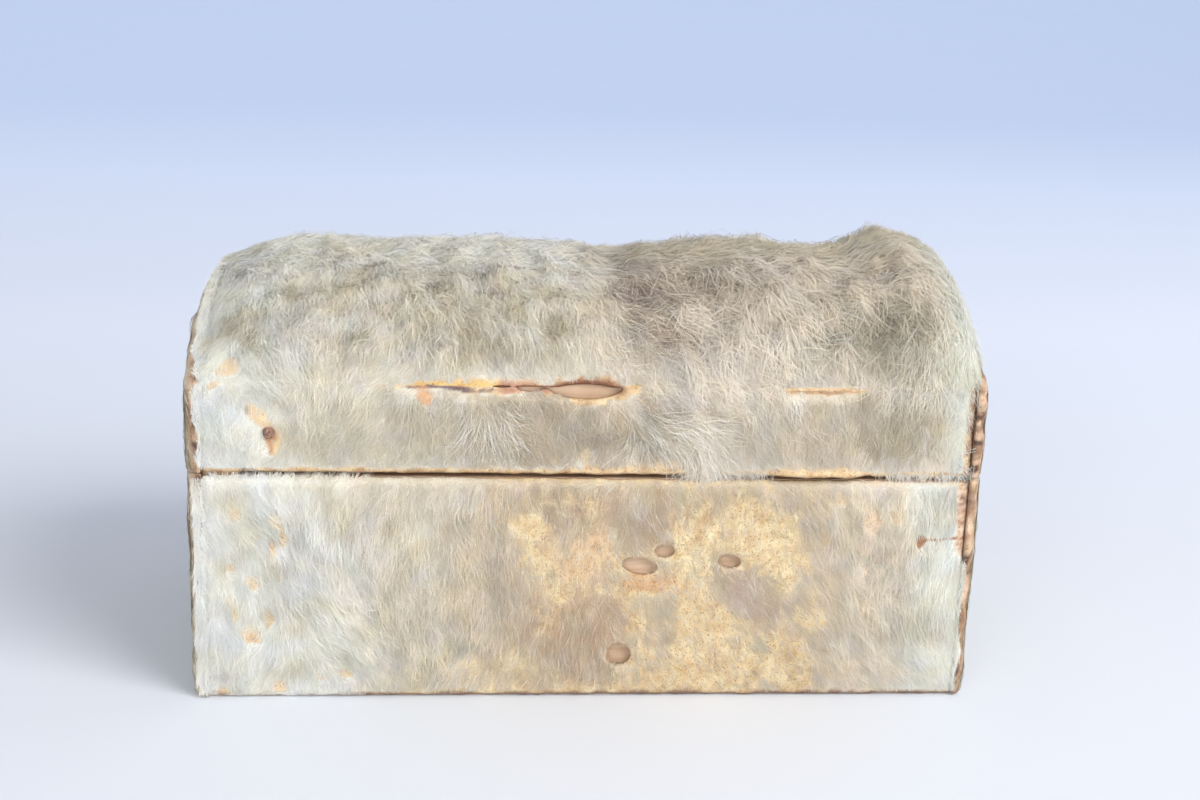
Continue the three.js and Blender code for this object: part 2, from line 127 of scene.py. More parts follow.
def ramp(tree, factor, *stops):
    """A colour ramp through (place, colour) stops."""
    node = tree.nodes.new("ShaderNodeValToRGB")
    tree.links.new(factor, node.inputs[0])
    while len(node.color_ramp.elements) < len(stops):
        node.color_ramp.elements.new(0.5)
    for element, (place, shade) in zip(node.color_ramp.elements, stops):
        element.position = place
        element.color = shade
    return node.outputs[0]


bend = np.linspace(0, np.pi / 2, SWEEP_PARTS + 1)
sweep_y = np.concatenate([[-FLOOR_HALF], SWEEP_START + SWEEP_RADIUS * np.sin(bend)])
sweep_z = np.concatenate([[0], SWEEP_RADIUS * (1 - np.cos(bend))])
corners = [(side * FLOOR_HALF, y, z) for y, z in zip(sweep_y, sweep_z) for side in (-1, 1)]
floor_mesh = bpy.data.meshes.new("floor")
floor_mesh.from_pydata(corners, [], [(i, i + 1, i + 3, i + 2) for i in range(0, len(corners) - 2, 2)])
floor = bpy.data.objects.new("floor", floor_mesh)
bpy.context.collection.objects.link(floor)
floor_material, tree, shader = new_material("pale table top", 0.6)
place = add(tree, "ShaderNodeTexCoord", "Object")
depth = add(tree, "ShaderNodeSeparateXYZ", "Y", Vector=place)
height = add(tree, "ShaderNodeSeparateXYZ", "Z", Vector=place)
far = add(tree, "ShaderNodeMath", operation="ADD", i0=depth, i1=height)
far = add(tree, "ShaderNodeMapRange", Value=far, From_Min=GLOW_FADE[0], From_Max=GLOW_FADE[1])
glow = ramp(tree, far, *((at, paint(rgb)) for at, rgb in GLOW_TONES))
tree.links.new(glow, shader.inputs["Emission Color"])
shader.inputs["Emission Strength"].default_value = 1.0
shader.inputs["Base Color"].default_value = paint(FLOOR_TONE)
floor_mesh.materials.append(floor_material)

for name, where, size, power, tone in LIGHTS:
    lamp = bpy.data.lights.new(name, "AREA")
    lamp.shape = "DISK"
    lamp.size = size
    lamp.energy = power
    lamp.color = colour(*tone)
    holder = bpy.data.objects.new(name, lamp)
    holder.location = where
    holder.rotation_mode = "QUATERNION"
    holder.rotation_quaternion = (BOX_MIDDLE - Vector(where)).to_track_quat("-Z", "Y")
    bpy.context.collection.objects.link(holder)

world = bpy.data.worlds.new("pale sky")
world.use_nodes = True
world.node_tree.nodes["Background"].inputs["Color"].default_value = paint(SKY)
world.node_tree.nodes["Background"].inputs["Strength"].default_value = SKY_STRENGTH
bpy.context.scene.world = world
bpy.context.scene.view_settings.view_transform = "Standard"


# Boards
# Ten plain softwood boards nailed up, five for the body and five for the lid. They show inside, on
# the underside, along the seam and through the holes in the hide, brown and dull with age.
WOOD_PALE = (226, 202, 178)
WOOD_DARK = (190, 156, 126)
WOOD_WORN = (234, 212, 190)
WOOD_DIRT = (190, 170, 150)
GRAIN_STRETCH = 14.0
GRAIN_SIZE = 900.0


def multiplied(tree, share, below, above):
    """One colour multiplied by another, in that share."""
    return add(tree, "ShaderNodeMix", 2, data_type="RGBA", blend_type="MULTIPLY", i0=share, i6=below,
               i7=above)


def wood_material(name, along):
    """Old softwood with its grain drawn out along the given axis, 0 for X or 1 for Y."""
    material, tree, shader = new_material(name, 0.7)
    place = add(tree, "ShaderNodeTexCoord", "Object")
    stretch = [GRAIN_SIZE] * 3
    stretch[along] = GRAIN_SIZE / GRAIN_STRETCH
    drawn = add(tree, "ShaderNodeMapping", Vector=place, Scale=stretch)
    grain = add(tree, "ShaderNodeTexNoise", "Fac", Vector=drawn, Scale=1.0, Detail=5.0, Distortion=0.6)
    bands = add(tree, "ShaderNodeTexNoise", "Fac", Vector=drawn, Scale=0.22, Detail=2.0, Distortion=1.5)
    dirt = add(tree, "ShaderNodeTexNoise", "Fac", Vector=place, Scale=60.0, Detail=3.0)
    streaks = ramp(tree, grain, (0.3, paint(WOOD_DARK)), (0.62, paint(WOOD_PALE)))
    worn = ramp(tree, bands, (0.4, paint(WOOD_PALE)), (0.7, paint(WOOD_WORN)))
    mixed = add(tree, "ShaderNodeMix", 2, data_type="RGBA", Factor=0.45, i6=streaks, i7=worn)
    soiled = multiplied(tree, dirt, mixed, paint(WOOD_DIRT))
    tree.links.new(soiled, shader.inputs["Base Color"])
    bump = add(tree, "ShaderNodeBump", Height=grain, Strength=0.5, Distance=0.0004)
    tree.links.new(bump, shader.inputs["Normal"])
    return material


wood_along = wood_material("softwood, grain along the box", 0)
wood_across = wood_material("softwood, grain across the ends", 1)
LONG_BOARDS = (
    "bottom_board", "front_board", "back_board", "lid_front_rail", "lid_back_rail", "lid_top_board"
)
END_BOARDS = ("left_end_board", "right_end_board", "lid_left_end", "lid_right_end")
for nodes, wood in ((LONG_BOARDS, wood_along), (END_BOARDS, wood_across)):
    for node in nodes:
        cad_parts[node].data.materials.clear()
        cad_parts[node].data.materials.append(wood)


# Hides
# Seven panels of raw goat or calf skin, glued to the boards with the hair outside: four round the
# body, one over the lid from front to back, and one on each end of the lid. Each is made here as a
# closed sheet: the skin where it is bare, and the matted root of the fur where it isn't.
MM = 0.001
HALF_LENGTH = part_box("front_board")[1].x / MM
HALF_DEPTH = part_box("back_board")[1].y / MM
FRONT_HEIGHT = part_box("front_board")[1].z / MM
BODY_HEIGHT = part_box("left_end_board")[1].z / MM
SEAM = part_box("lid_left_end")[0].z / MM
RAIL_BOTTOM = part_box("lid_front_rail")[0].z / MM
DOME_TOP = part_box("lid_top_board")[1].z / MM
RAIL_HEIGHT = 25.0
FIT = 0.3                # between a board and its hide
SKIN = 1.2
HIDE_INSET = 0.5
SEAM_INSET = 0.2
END_LAP = 0.5            # the end hides stand this much past the skin of the others
FUR = 1.4
DOME_FUR = 2.6           # more on the dome
END_FUR = 0.7
BORDER_FADE = 13.0       # the fur thins over this width along a border, down to the share below
BORDER_FUR = 0.25
END_ROUND = 3.0          # worn rounding of the domed board at its ends
ROUND_BLEND = 12.0
LOCK_LENGTH = 27.0
LOCK_WIDTH = 12.0
LOCK_HEIGHT = 1.5
LOCK_PITCH = 11.0
LOCK_ROW = 15.0
LOCK_SCATTER = 0.7
LOCK_TURN = 40.0
PUCKER_PITCH = 13.0
PUCKER_WIDTH = 4.0
MATTED = 0.55            # share of the fur's height that is matted at the root, made as one surface
PITCH = 0.45             # of the grids that values over a hide are read from
PAST_EDGE = 6.0

RIDGE = SEAM + RAIL_HEIGHT
DOME_RISE = DOME_TOP - RIDGE
DOME_RADIUS = (HALF_DEPTH**2 + DOME_RISE**2) / (2 * DOME_RISE)
DOME_MIDDLE = DOME_TOP - DOME_RADIUS
DOME_ANGLE = np.arcsin(HALF_DEPTH / DOME_RADIUS)
CORNER_RUN = FIT + SKIN + FUR
SECTION_RUN = 2 * (RAIL_HEIGHT + CORNER_RUN + DOME_ANGLE * DOME_RADIUS)
CREST = SECTION_RUN / 2
FACE_LIFT = FIT + SKIN
END_REACH = HALF_DEPTH + FACE_LIFT + END_LAP


def smooth(x, low, high):
    """0 below low, 1 above high, eased between."""
    t = np.clip((x - low) / (high - low), 0, 1)
    return t * t * (3 - 2 * t)


def scatter(i, j, k):
    """A repeatable number from 0 to 1 for whole numbers: what is left after the point of a large sine."""
    wave = np.sin(i * 127.1 + j * 311.7 + k * 74.7) * 43758.5453
    return wave - np.floor(wave)


def cloud(u, v, size, seed):
    """Noise from -1 to 1: repeatable heights on a square lattice of that size, eased between, in two
    layers, the finer one turned and half as strong."""
    total = 0
    for turn, pitch, strength in ((0.4, size, 0.67), (1.3, size * 0.47, 0.33)):
        x = (u * np.cos(turn) + v * np.sin(turn)) / pitch
        y = (v * np.cos(turn) - u * np.sin(turn)) / pitch
        i, j = np.floor(x), np.floor(y)
        s, t = smooth(x - i, 0, 1), smooth(y - j, 0, 1)
        low = (1 - s) * scatter(i, j, seed) + s * scatter(i + 1, j, seed)
        high = (1 - s) * scatter(i, j + 1, seed) + s * scatter(i + 1, j + 1, seed)
        total = total + strength * (2 * ((1 - t) * low + t * high) - 1)
    return total


def blot(u, v, at, size, turn=0.0, ragged=0.25, seed=5):
    """1 inside an oval of the given half sizes, falling to 0 outside it, with a ragged outline."""
    a = np.radians(turn)
    x = ((u - at[0]) * np.cos(a) + (v - at[1]) * np.sin(a)) / size[0]
    y = ((v - at[1]) * np.cos(a) - (u - at[0]) * np.sin(a)) / size[1]
    return 1 - smooth(np.hypot(x, y) + ragged * cloud(u, v, 2.6, seed), 0.75, 1.15)


def lid_section(s):
    """Point and outward direction on the lid's boards, s mm along from the lower front edge: up the
    front, turning on the spot at the ridge, over the round dome, and the same down the back."""
    run = CREST - np.abs(s - CREST)
    side = np.where(s < CREST, -1.0, 1.0)
    turning = np.clip((run - RAIL_HEIGHT) / CORNER_RUN, 0, 1)
    angle = np.pi / 2 + (DOME_ANGLE - np.pi / 2) * turning
    over = run > RAIL_HEIGHT + CORNER_RUN
    angle = np.where(over, DOME_ANGLE - (run - RAIL_HEIGHT - CORNER_RUN) / DOME_RADIUS, angle)
    y = np.where(over, DOME_RADIUS * np.sin(angle), HALF_DEPTH)
    z = np.where(over, DOME_MIDDLE + DOME_RADIUS * np.cos(angle), np.minimum(SEAM + run, RIDGE))
    return side * y, z, side * np.sin(angle), np.cos(angle)


def on_dome(s):
    """0 on the rails and the ridge, 1 on the dome."""
    run = CREST - np.abs(s - CREST)
    return smooth(run - RAIL_HEIGHT - CORNER_RUN, 0, ROUND_BLEND)


def end_drop(x):
    """How far the worn ends of the domed board fall away: a quarter circle at each end."""
    into = np.clip(np.abs(x) - (HALF_LENGTH - END_ROUND), 0, END_ROUND)
    return END_ROUND - np.sqrt(END_ROUND**2 - into**2)


def over_lid(u, v, lift):
    """The point that far out from the lid's section at v, u mm from the middle."""
    y, z, out_y, out_z = lid_section(v)
    height = lift - end_drop(u) * on_dome(v)
    return np.stack(np.broadcast_arrays(u, y + out_y * height, z + out_z * height), -1)


def on_front(u, v, lift):
    """The point that far in front of the body's front board."""
    return np.stack(np.broadcast_arrays(u, -(HALF_DEPTH + lift), v), -1)


def on_back(u, v, lift):
    """The same behind the back board, with u running to the left."""
    return np.stack(np.broadcast_arrays(-u, HALF_DEPTH + lift, v), -1)


def on_end(side):
    """Places points off an end: side is -1 for the left and 1 for the right."""
    def place_on_end(u, v, lift):
        return np.stack(np.broadcast_arrays(side * (HALF_LENGTH + lift), side * u, v), -1)

    return place_on_end


def arch_outline(s):
    """Outline of an end of the lid, s mm along the section."""
    y, z, out_y, out_z = lid_section(s)
    lift = FACE_LIFT + END_LAP - END_ROUND * on_dome(s)
    return y + out_y * lift, z + out_z * lift


ARCH_S = np.linspace(RAIL_HEIGHT, SECTION_RUN - RAIL_HEIGHT, 200)
ARCH_Y, ARCH_Z = arch_outline(ARCH_S)


def arch_top(u):
    """Height of the arched end's outline at each u."""
    return np.interp(u, ARCH_Y, ARCH_Z)


def lock(u, v, turn, length, width, height):
    """One lock: its root, direction, length, half width and height."""
    return (u, v, np.cos(turn), np.sin(turn), length, width / 2, height)


def grow_locks(hide):
    """Locks in staggered rows over a hide, each along the lay of the hair at its root."""
    columns = round((hide.right - hide.left) / LOCK_PITCH)
    rows = round((hide.high - hide.low) / LOCK_ROW)
    row, column = (a.ravel() for a in np.mgrid[0:rows, 0:columns])

    def stray(k):
        return (scatter(column, row, hide.seed + k) - 0.5) * LOCK_SCATTER

    u = hide.left + (column + 0.5 + (row % 2 - 0.5) / 2 + stray(1)) * LOCK_PITCH
    v = hide.low + (row + 1 + stray(2)) * LOCK_ROW
    turn = hide.lock_lay(u, v) + np.radians(LOCK_TURN * stray(3))
    size = 1 + stray(4) / 2
    grown = lock(u, v, turn, LOCK_LENGTH * size, LOCK_WIDTH * size, LOCK_HEIGHT * size)
    placed = [lock(*one[:2], np.radians(one[2]), *one[3:]) for one in hide.long_locks]
    return np.concatenate([np.stack(grown, -1), np.reshape(placed, (-1, 7))])


def locks_at(locks, u, v):
    """Height of the tallest lock at each point: round across, sin of pi times the root of the share
    of its length along."""
    height = np.zeros(np.shape(u))
    for at_u, at_v, along_u, along_v, length, half_width, tall in locks:
        share = ((u - at_u) * along_u + (v - at_v) * along_v) / length
        across = ((v - at_v) * along_u - (u - at_u) * along_v) / half_width
        inside = (share > 0) & (share < 1) & (np.abs(across) < 1)
        bulge = tall * (1 - across**2) * np.sin(np.pi * np.sqrt(np.clip(share, 0, 1)))
        height = np.where(inside, np.maximum(height, bulge), height)
    return height


def border_of(hide, u, v):
    """Distance in from the nearest border."""
    return np.minimum.reduce([u - hide.left, hide.right - u, v - hide.low, hide.high - v])


def fur_height(hide, u, v):
    """Height of the fur over the skin, thinner at the border and in the thin places."""
    fade = BORDER_FUR + (1 - BORDER_FUR) * smooth(border_of(hide, u, v), 0, BORDER_FADE)
    covered = 1.0
    for at_u, at_v, ru, rv, bare in hide.thin:
        near = 1 - smooth(np.hypot((u - at_u) / ru, (v - at_v) / rv), 0.6, 1.1)
        covered = covered * (1 - bare * near)
    return np.maximum(0, (hide.fur(u, v) + locks_at(hide.locks, u, v)) * fade * covered)


def laid_out(hide, formula):
    """The formula worked out once on a grid over the hide and a little past its edges, and read from
    there, straight between the points of the grid."""
    left, low = hide.left - PAST_EDGE, hide.low - PAST_EDGE
    across = np.arange(left, hide.right + PAST_EDGE + PITCH, PITCH)
    upward = np.arange(low, hide.high + PAST_EDGE + PITCH, PITCH)
    grid = formula(*np.meshgrid(across, upward)).astype(np.float32)

    def read(u, v):
        x = np.clip((u - left) / PITCH, 0, grid.shape[1] - 1.001)
        y = np.clip((v - low) / PITCH, 0, grid.shape[0] - 1.001)
        i, j = x.astype(int), y.astype(int)
        s, t = x - i, y - j
        if grid.ndim == 3:
            s, t = s[..., None], t[..., None]
        below = (1 - s) * grid[j, i] + s * grid[j, i + 1]
        above = (1 - s) * grid[j + 1, i] + s * grid[j + 1, i + 1]
        return (1 - t) * below + t * above

    return read


def lay_down(u, v):
    """Direction of the hair on the flat hides: down, swinging in slow waves."""
    return np.radians(-90 + 22 * np.sin(u / 31) + 12 * np.sin(v / 17 + u / 53))


def lay_over_lid(u, v):
    """Direction on the lid: down both slopes, turning round at the crest, swept right of the parting."""
    turned = 180 * smooth(v, CREST - 38, CREST + 38)
    sweep = np.where(u > 0, 30 * smooth(v, RAIL_HEIGHT, CREST), 0)
    return np.radians(-90 + turned + sweep + 14 * np.sin(u / 27 + v / 19))


def combed(lay, combs):
    """The lay of the hair, turned in degrees near each comb stroke (u, v, reach, degrees)."""
    def combed_lay(u, v):
        turn = lay(u, v)
        for at_u, at_v, reach, degrees in combs:
            turn = turn + np.radians(degrees) * np.exp(-((u - at_u) ** 2 + (v - at_v) ** 2) / reach**2)
        return turn

    return combed_lay


def tone_of(base, *washes):
    """A colour at each point: the base, with each wash (colour, strength at the points) laid on it."""
    tone = np.broadcast_to(colour(*base), (*np.shape(washes[0][1]), 3)).copy()
    for rgb, strength in washes:
        tone += (colour(*rgb) - tone) * np.clip(strength, 0, 1)[..., None]
    return tone


def stains(u, v, table):
    """Washes for tone_of, one for each stain: its colour, middle, half sizes, turn, raggedness, seed
    and strength."""
    return [
        (rgb, blot(u, v, at, size, turn, ragged, seed) * strength)
        for rgb, at, size, turn, ragged, seed, strength in table
    ]


def mesh_object(name, points, faces, material):
    """A mesh from points in mm and sets of faces of one size each."""
    mesh = bpy.data.meshes.new(name)
    mesh.vertices.add(len(points))
    mesh.vertices.foreach_set("co", (points * MM).astype(np.float32).ravel())
    sizes = np.concatenate([np.full(len(f), f.shape[1]) for f in faces])
    mesh.loops.add(int(sizes.sum()))
    mesh.loops.foreach_set("vertex_index", np.concatenate([f.ravel() for f in faces]).astype(np.int32))
    mesh.polygons.add(len(sizes))
    mesh.polygons.foreach_set("loop_start", (np.cumsum(sizes) - sizes).astype(np.int32))
    mesh.polygons.foreach_set("use_smooth", np.full(len(sizes), True))
    mesh.update(calc_edges=True)
    mesh.materials.append(material)
    piece = bpy.data.objects.new(name, mesh)
    bpy.context.collection.objects.link(piece)
    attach(piece, "root")
    return piece


def give_colour(piece, name, rgb):
    """Stores a colour at each point of the mesh under that name."""
    rgba = np.concatenate([rgb, np.ones((len(rgb), 1))], -1)
    layer = piece.data.attributes.new(name, "FLOAT_COLOR", "POINT")
    layer.data.foreach_set("color", rgba.astype(np.float32).ravel())


def give_value(piece, name, values):
    """The same with one number."""
    layer = piece.data.attributes.new(name, "FLOAT", "POINT")
    layer.data.foreach_set("value", values.astype(np.float32).ravel())


def closed_sheet(outer, inner, kept):
    """Points and faces of a sheet with two faces on one grid: the kept cells of both, and a wall
    along every edge that only one kept cell has."""
    rows, columns = outer.shape[:2]
    index = np.arange(rows * columns).reshape(rows, columns)
    cells = np.stack([index[:-1, :-1], index[:-1, 1:], index[1:, 1:], index[1:, :-1]], -1)[kept]
    edges = np.stack([cells, np.roll(cells, -1, 1)], -1).reshape(-1, 2)
    total = rows * columns
    alone = ~np.isin(edges[:, 0] * total + edges[:, 1], edges[:, 1] * total + edges[:, 0])
    p, q = edges[alone].T
    walls = np.stack([q, p, p + total, q + total], -1)
    faces = np.concatenate([cells, cells[:, ::-1] + total, walls])
    points = np.concatenate([outer.reshape(-1, 3), inner.reshape(-1, 3)])
    used = np.unique(faces)
    renumber = np.zeros(len(points), int)
    renumber[used] = np.arange(len(used))
    return points[used], renumber[faces], used % total


def skin_material():
    """Raw skin where bare, matted fur elsewhere: the two tints are in the mesh, the pores, specks, the
    painted shade flecked over the matted root and the ragged line between them are made here."""
    material, tree, shader = new_material("raw hide and matted fur", 0.62)
    place = add(tree, "ShaderNodeTexCoord", "Object")
    bare = add(tree, "ShaderNodeAttribute", "Fac", attribute_name="bare")
    skin = add(tree, "ShaderNodeAttribute", "Color", attribute_name="skin_tint")
    root = add(tree, "ShaderNodeAttribute", "Color", attribute_name="fur_tint")
    blotch = add(tree, "ShaderNodeTexNoise", "Fac", Vector=place, Scale=260.0, Detail=4.0, Roughness=0.6)
    speck = add(tree, "ShaderNodeTexNoise", "Fac", Vector=place, Scale=1500.0, Detail=2.0, Roughness=0.7)
    fine = add(tree, "ShaderNodeTexNoise", "Fac", Vector=place, Scale=2600.0, Detail=3.0, Roughness=0.7)
    mottle = ramp(tree, blotch, (0.32, paint((226, 202, 180))), (0.48, paint((248, 238, 226))),
                  (0.62, paint((255, 255, 255))))
    stubble = ramp(tree, speck, (0.33, paint((186, 158, 134))), (0.45, paint((255, 253, 250))))
    skin = multiplied(tree, 0.9, skin, mottle)
    skin = multiplied(tree, 0.75, skin, stubble)
    # painted shade: fine darker flecks over the matted root, for the shade between its hairs
    shade = ramp(tree, fine, (0.3, paint((206, 200, 192))), (0.6, paint((255, 255, 255))))
    root = multiplied(tree, 0.8, root, shade)
    broken = add(tree, "ShaderNodeMath", operation="MULTIPLY_ADD", i0=blotch, i1=1.1, i2=-0.55)
    ragged = add(tree, "ShaderNodeMath", operation="MULTIPLY_ADD", i0=speck, i1=0.7, i2=-0.35)
    edge = add(tree, "ShaderNodeMath", operation="ADD", i0=bare, i1=broken)
    edge = add(tree, "ShaderNodeMath", operation="ADD", i0=edge, i1=ragged)
    edge = add(tree, "ShaderNodeMapRange", Value=edge, From_Min=0.15, From_Max=0.75)
    mixed = add(tree, "ShaderNodeMix", 2, data_type="RGBA", i0=edge, i6=root, i7=skin)
    tree.links.new(mixed, shader.inputs["Base Color"])
    shader.inputs["Specular IOR Level"].default_value = 0.25
    height = add(tree, "ShaderNodeMath", operation="ADD", i0=speck, i1=fine)
    bump = add(tree, "ShaderNodeBump", Height=height, Strength=0.6, Distance=0.0003)
    tree.links.new(bump, shader.inputs["Normal"])
    return material


SKIN_LOOK = skin_material()
ROOT_SHADE = 0.96        # painted shade: the matted root is made a little darker than the hair, for the shade among its roots


def matted_lift(hide, u, v):
    """Lift of the sheet's outer face over the boards: the skin, rounded off at its edge and lightly
    cockled, and the matted part of the fur with its tufts."""
    fur = fur_height(hide, u, v)
    tufts = 0.28 * cloud(u, v, 6.0, hide.seed + 1) + 0.16 * cloud(u, v, 2.6, hide.seed + 2)
    edge = np.sqrt(np.clip(hide.border(u, v) / 0.9, 0.12, 1))
    cockle = 0.12 * cloud(u, v, 8.0, hide.seed + 3) * smooth(hide.border(u, v), 0, 2)
    return FIT + SKIN * edge + cockle + fur * (MATTED + tufts) + hide.extra(u, v)


def make_sheet(hide, name, node, u, v, kept):
    """The sheet of a hide on a grid of u and v, with its tints, standing for its CAD solid."""
    outer = hide.place(u, v, matted_lift(hide, u, v))
    inner = hide.place(u, v, FIT + hide.curl(u, v))
    points, faces, source = closed_sheet(outer, inner, kept)
    piece = mesh_object(name, points, [faces], SKIN_LOOK)
    flat_u, flat_v = u.ravel()[source], v.ravel()[source]
    give_colour(piece, "skin_tint", hide.skin_tint(flat_u, flat_v))
    # the matted root's tint carries the painted shade of ROOT_SHADE
    give_colour(piece, "fur_tint", hide.fur_tint(flat_u, flat_v) * ROOT_SHADE)
    give_value(piece, "bare", hide.bare(flat_u, flat_v))
    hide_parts(node)
    return piece


def plain_grid(hide, columns, rows):
    """An even grid over the whole hide, every cell kept."""
    share_u, share_v = np.meshgrid(np.linspace(0, 1, columns + 1), np.linspace(0, 1, rows + 1))
    u = hide.left + (hide.right - hide.left) * share_u
    v = hide.low + (hide.high - hide.low) * share_v
    return u, v, np.ones((rows, columns), bool)


def finish_hide(hide):
    """Fills in what a hide's description leaves out, and lays its values out over it. Past its ends a
    hide's surface is the lapped edge of the end hide, so that hair there lies on that."""
    defaults = dict(
        long_locks=(), thin=(), extra=lambda u, v: 0 * u, curl=lambda u, v: 0 * u, unruly=0.0,
        length=lambda u, v: 1 + 0 * u, foot=-np.inf,
    )
    for name, value in defaults.items():
        if not hasattr(hide, name):
            setattr(hide, name, value)
    if not hasattr(hide, "border"):
        hide.border = lambda u, v: border_of(hide, u, v)
    hide.locks = grow_locks(hide)
    lapped = FACE_LIFT + END_LAP + 0.1
    hide.surface = laid_out(
        hide, lambda u, v: np.maximum(matted_lift(hide, u, v), lapped * (np.abs(u) > HALF_LENGTH - 0.2))
    )
    hide.free_fur = laid_out(hide, lambda u, v: fur_height(hide, u, v) * (1 - MATTED))
    for name in ("density", "length", "stop", "fur_tint"):
        setattr(hide, name, laid_out(hide, getattr(hide, name)))
    return hide


# Fur
# Fine short hair, lying close to the skin in tufts that follow the lay of the hide: a dense coat of
# about 4 mm, and hairs of 7 to 13 mm through it. Each hair is a narrow ribbon that thins to a point,
# rooted in the matted surface. Tips in one tuft are drawn together, and a broader tuft shares its lean.
TUFT = 3.0
BROAD_TUFT = 8.0
DRAWN_TOGETHER = 0.4
ROLL = 0.55              # radians that a ribbon may turn about its own length
STRAY_SHARE = 0.04       # share of the hairs that lie across the others, and by how many radians
STRAY_TURN = 0.8
SHORTEST, LONGEST = 0.55, 1.25
OWN_SHARE = 0.25         # weight of a ribbon's own direction beside the fur's, in its shading
RELIEF_STEP = 0.9
WARMTH = np.array((0.05, 0.015, -0.09))
BLUSH = np.array((0.018, -0.02, 0.018))
UNDERCOAT = SimpleNamespace(steps=1, length=4.4, width=0.15, spread=0.26, loose=0.25, pale=0.04)
TOP_COAT = SimpleNamespace(steps=2, length=7.0, width=0.13, spread=0.24, loose=0.5, pale=0.07)
LONG_COAT = SimpleNamespace(steps=3, length=10.5, width=0.13, spread=0.36, loose=1.1, pale=0.07)
FRINGE = SimpleNamespace(steps=1, length=3.0, width=0.16, spread=0.5, loose=0.2, pale=0.05)
PALE_LOCK = SimpleNamespace(steps=3, length=13.0, width=0.17, spread=0.16, loose=1.0, pale=0.35)
HIDDEN_UNDERCOAT = SimpleNamespace(steps=1, length=6.5, width=0.28, spread=0.24, loose=0.25, pale=0.04)
HIDDEN_TOP_COAT = SimpleNamespace(steps=2, length=9.5, width=0.24, spread=0.2, loose=0.5, pale=0.06)


def nearest_tuft(u, v, size, seed):
    """Middle of the nearest tuft, one to a lattice cell and strayed inside it, and its cell."""
    best = np.full(np.shape(u), np.inf)
    middle_u, middle_v, cell_i, cell_j = (np.zeros(np.shape(u)) for _ in range(4))
    for di in (-1, 0, 1):
        for dj in (-1, 0, 1):
            i, j = np.floor(u / size) + di, np.floor(v / size) + dj
            at_u = (i + scatter(i, j, seed)) * size
            at_v = (j + scatter(i, j, seed + 1)) * size
            gap = (u - at_u) ** 2 + (v - at_v) ** 2
            closer = gap < best
            best = np.where(closer, gap, best)
            middle_u, middle_v = np.where(closer, at_u, middle_u), np.where(closer, at_v, middle_v)
            cell_i, cell_j = np.where(closer, i, cell_i), np.where(closer, j, cell_j)
    return middle_u, middle_v, cell_i, cell_j


def hair_material():
    """Dull hair in the tint that each mesh carries."""
    material, tree, shader = new_material("fur", 0.55)
    tint = add(tree, "ShaderNodeAttribute", "Color", attribute_name="fur_tint")
    tree.links.new(tint, shader.inputs["Base Color"])
    shader.inputs["Specular IOR Level"].default_value = 0.2
    return material


HAIR_LOOK = hair_material()
PALE_HAIR = (244, 244, 238)


def unit(vectors):
    """The vectors, each over its length."""
    return vectors / np.maximum(np.linalg.norm(vectors, axis=-1, keepdims=True), 1e-9)


def free_share(hide, u, v, turn, size, limit):
    """Share of its length that each hair has before it meets a worn place, a hole or an edge."""
    share = np.ones(len(u))
    for part in (1.0, 0.8, 0.6, 0.4, 0.2):
        met = hide.stop(u + size * part * np.cos(turn), v + size * part * np.sin(turn)) > limit
        share = np.where(met, part - 0.15, share)
    return share


def relief_normal(hide, u, v):
    """Outward direction of the fur's own surface: the cross of its slopes over a millimetre or so."""
    def top(at_u, at_v):
        return hide.place(at_u, at_v, hide.surface(at_u, at_v) + hide.free_fur(at_u, at_v))

    slope_u = top(u + RELIEF_STEP, v) - top(u - RELIEF_STEP, v)
    slope_v = top(u, v + RELIEF_STEP) - top(u, v - RELIEF_STEP)
    return unit(np.cross(slope_u, slope_v))


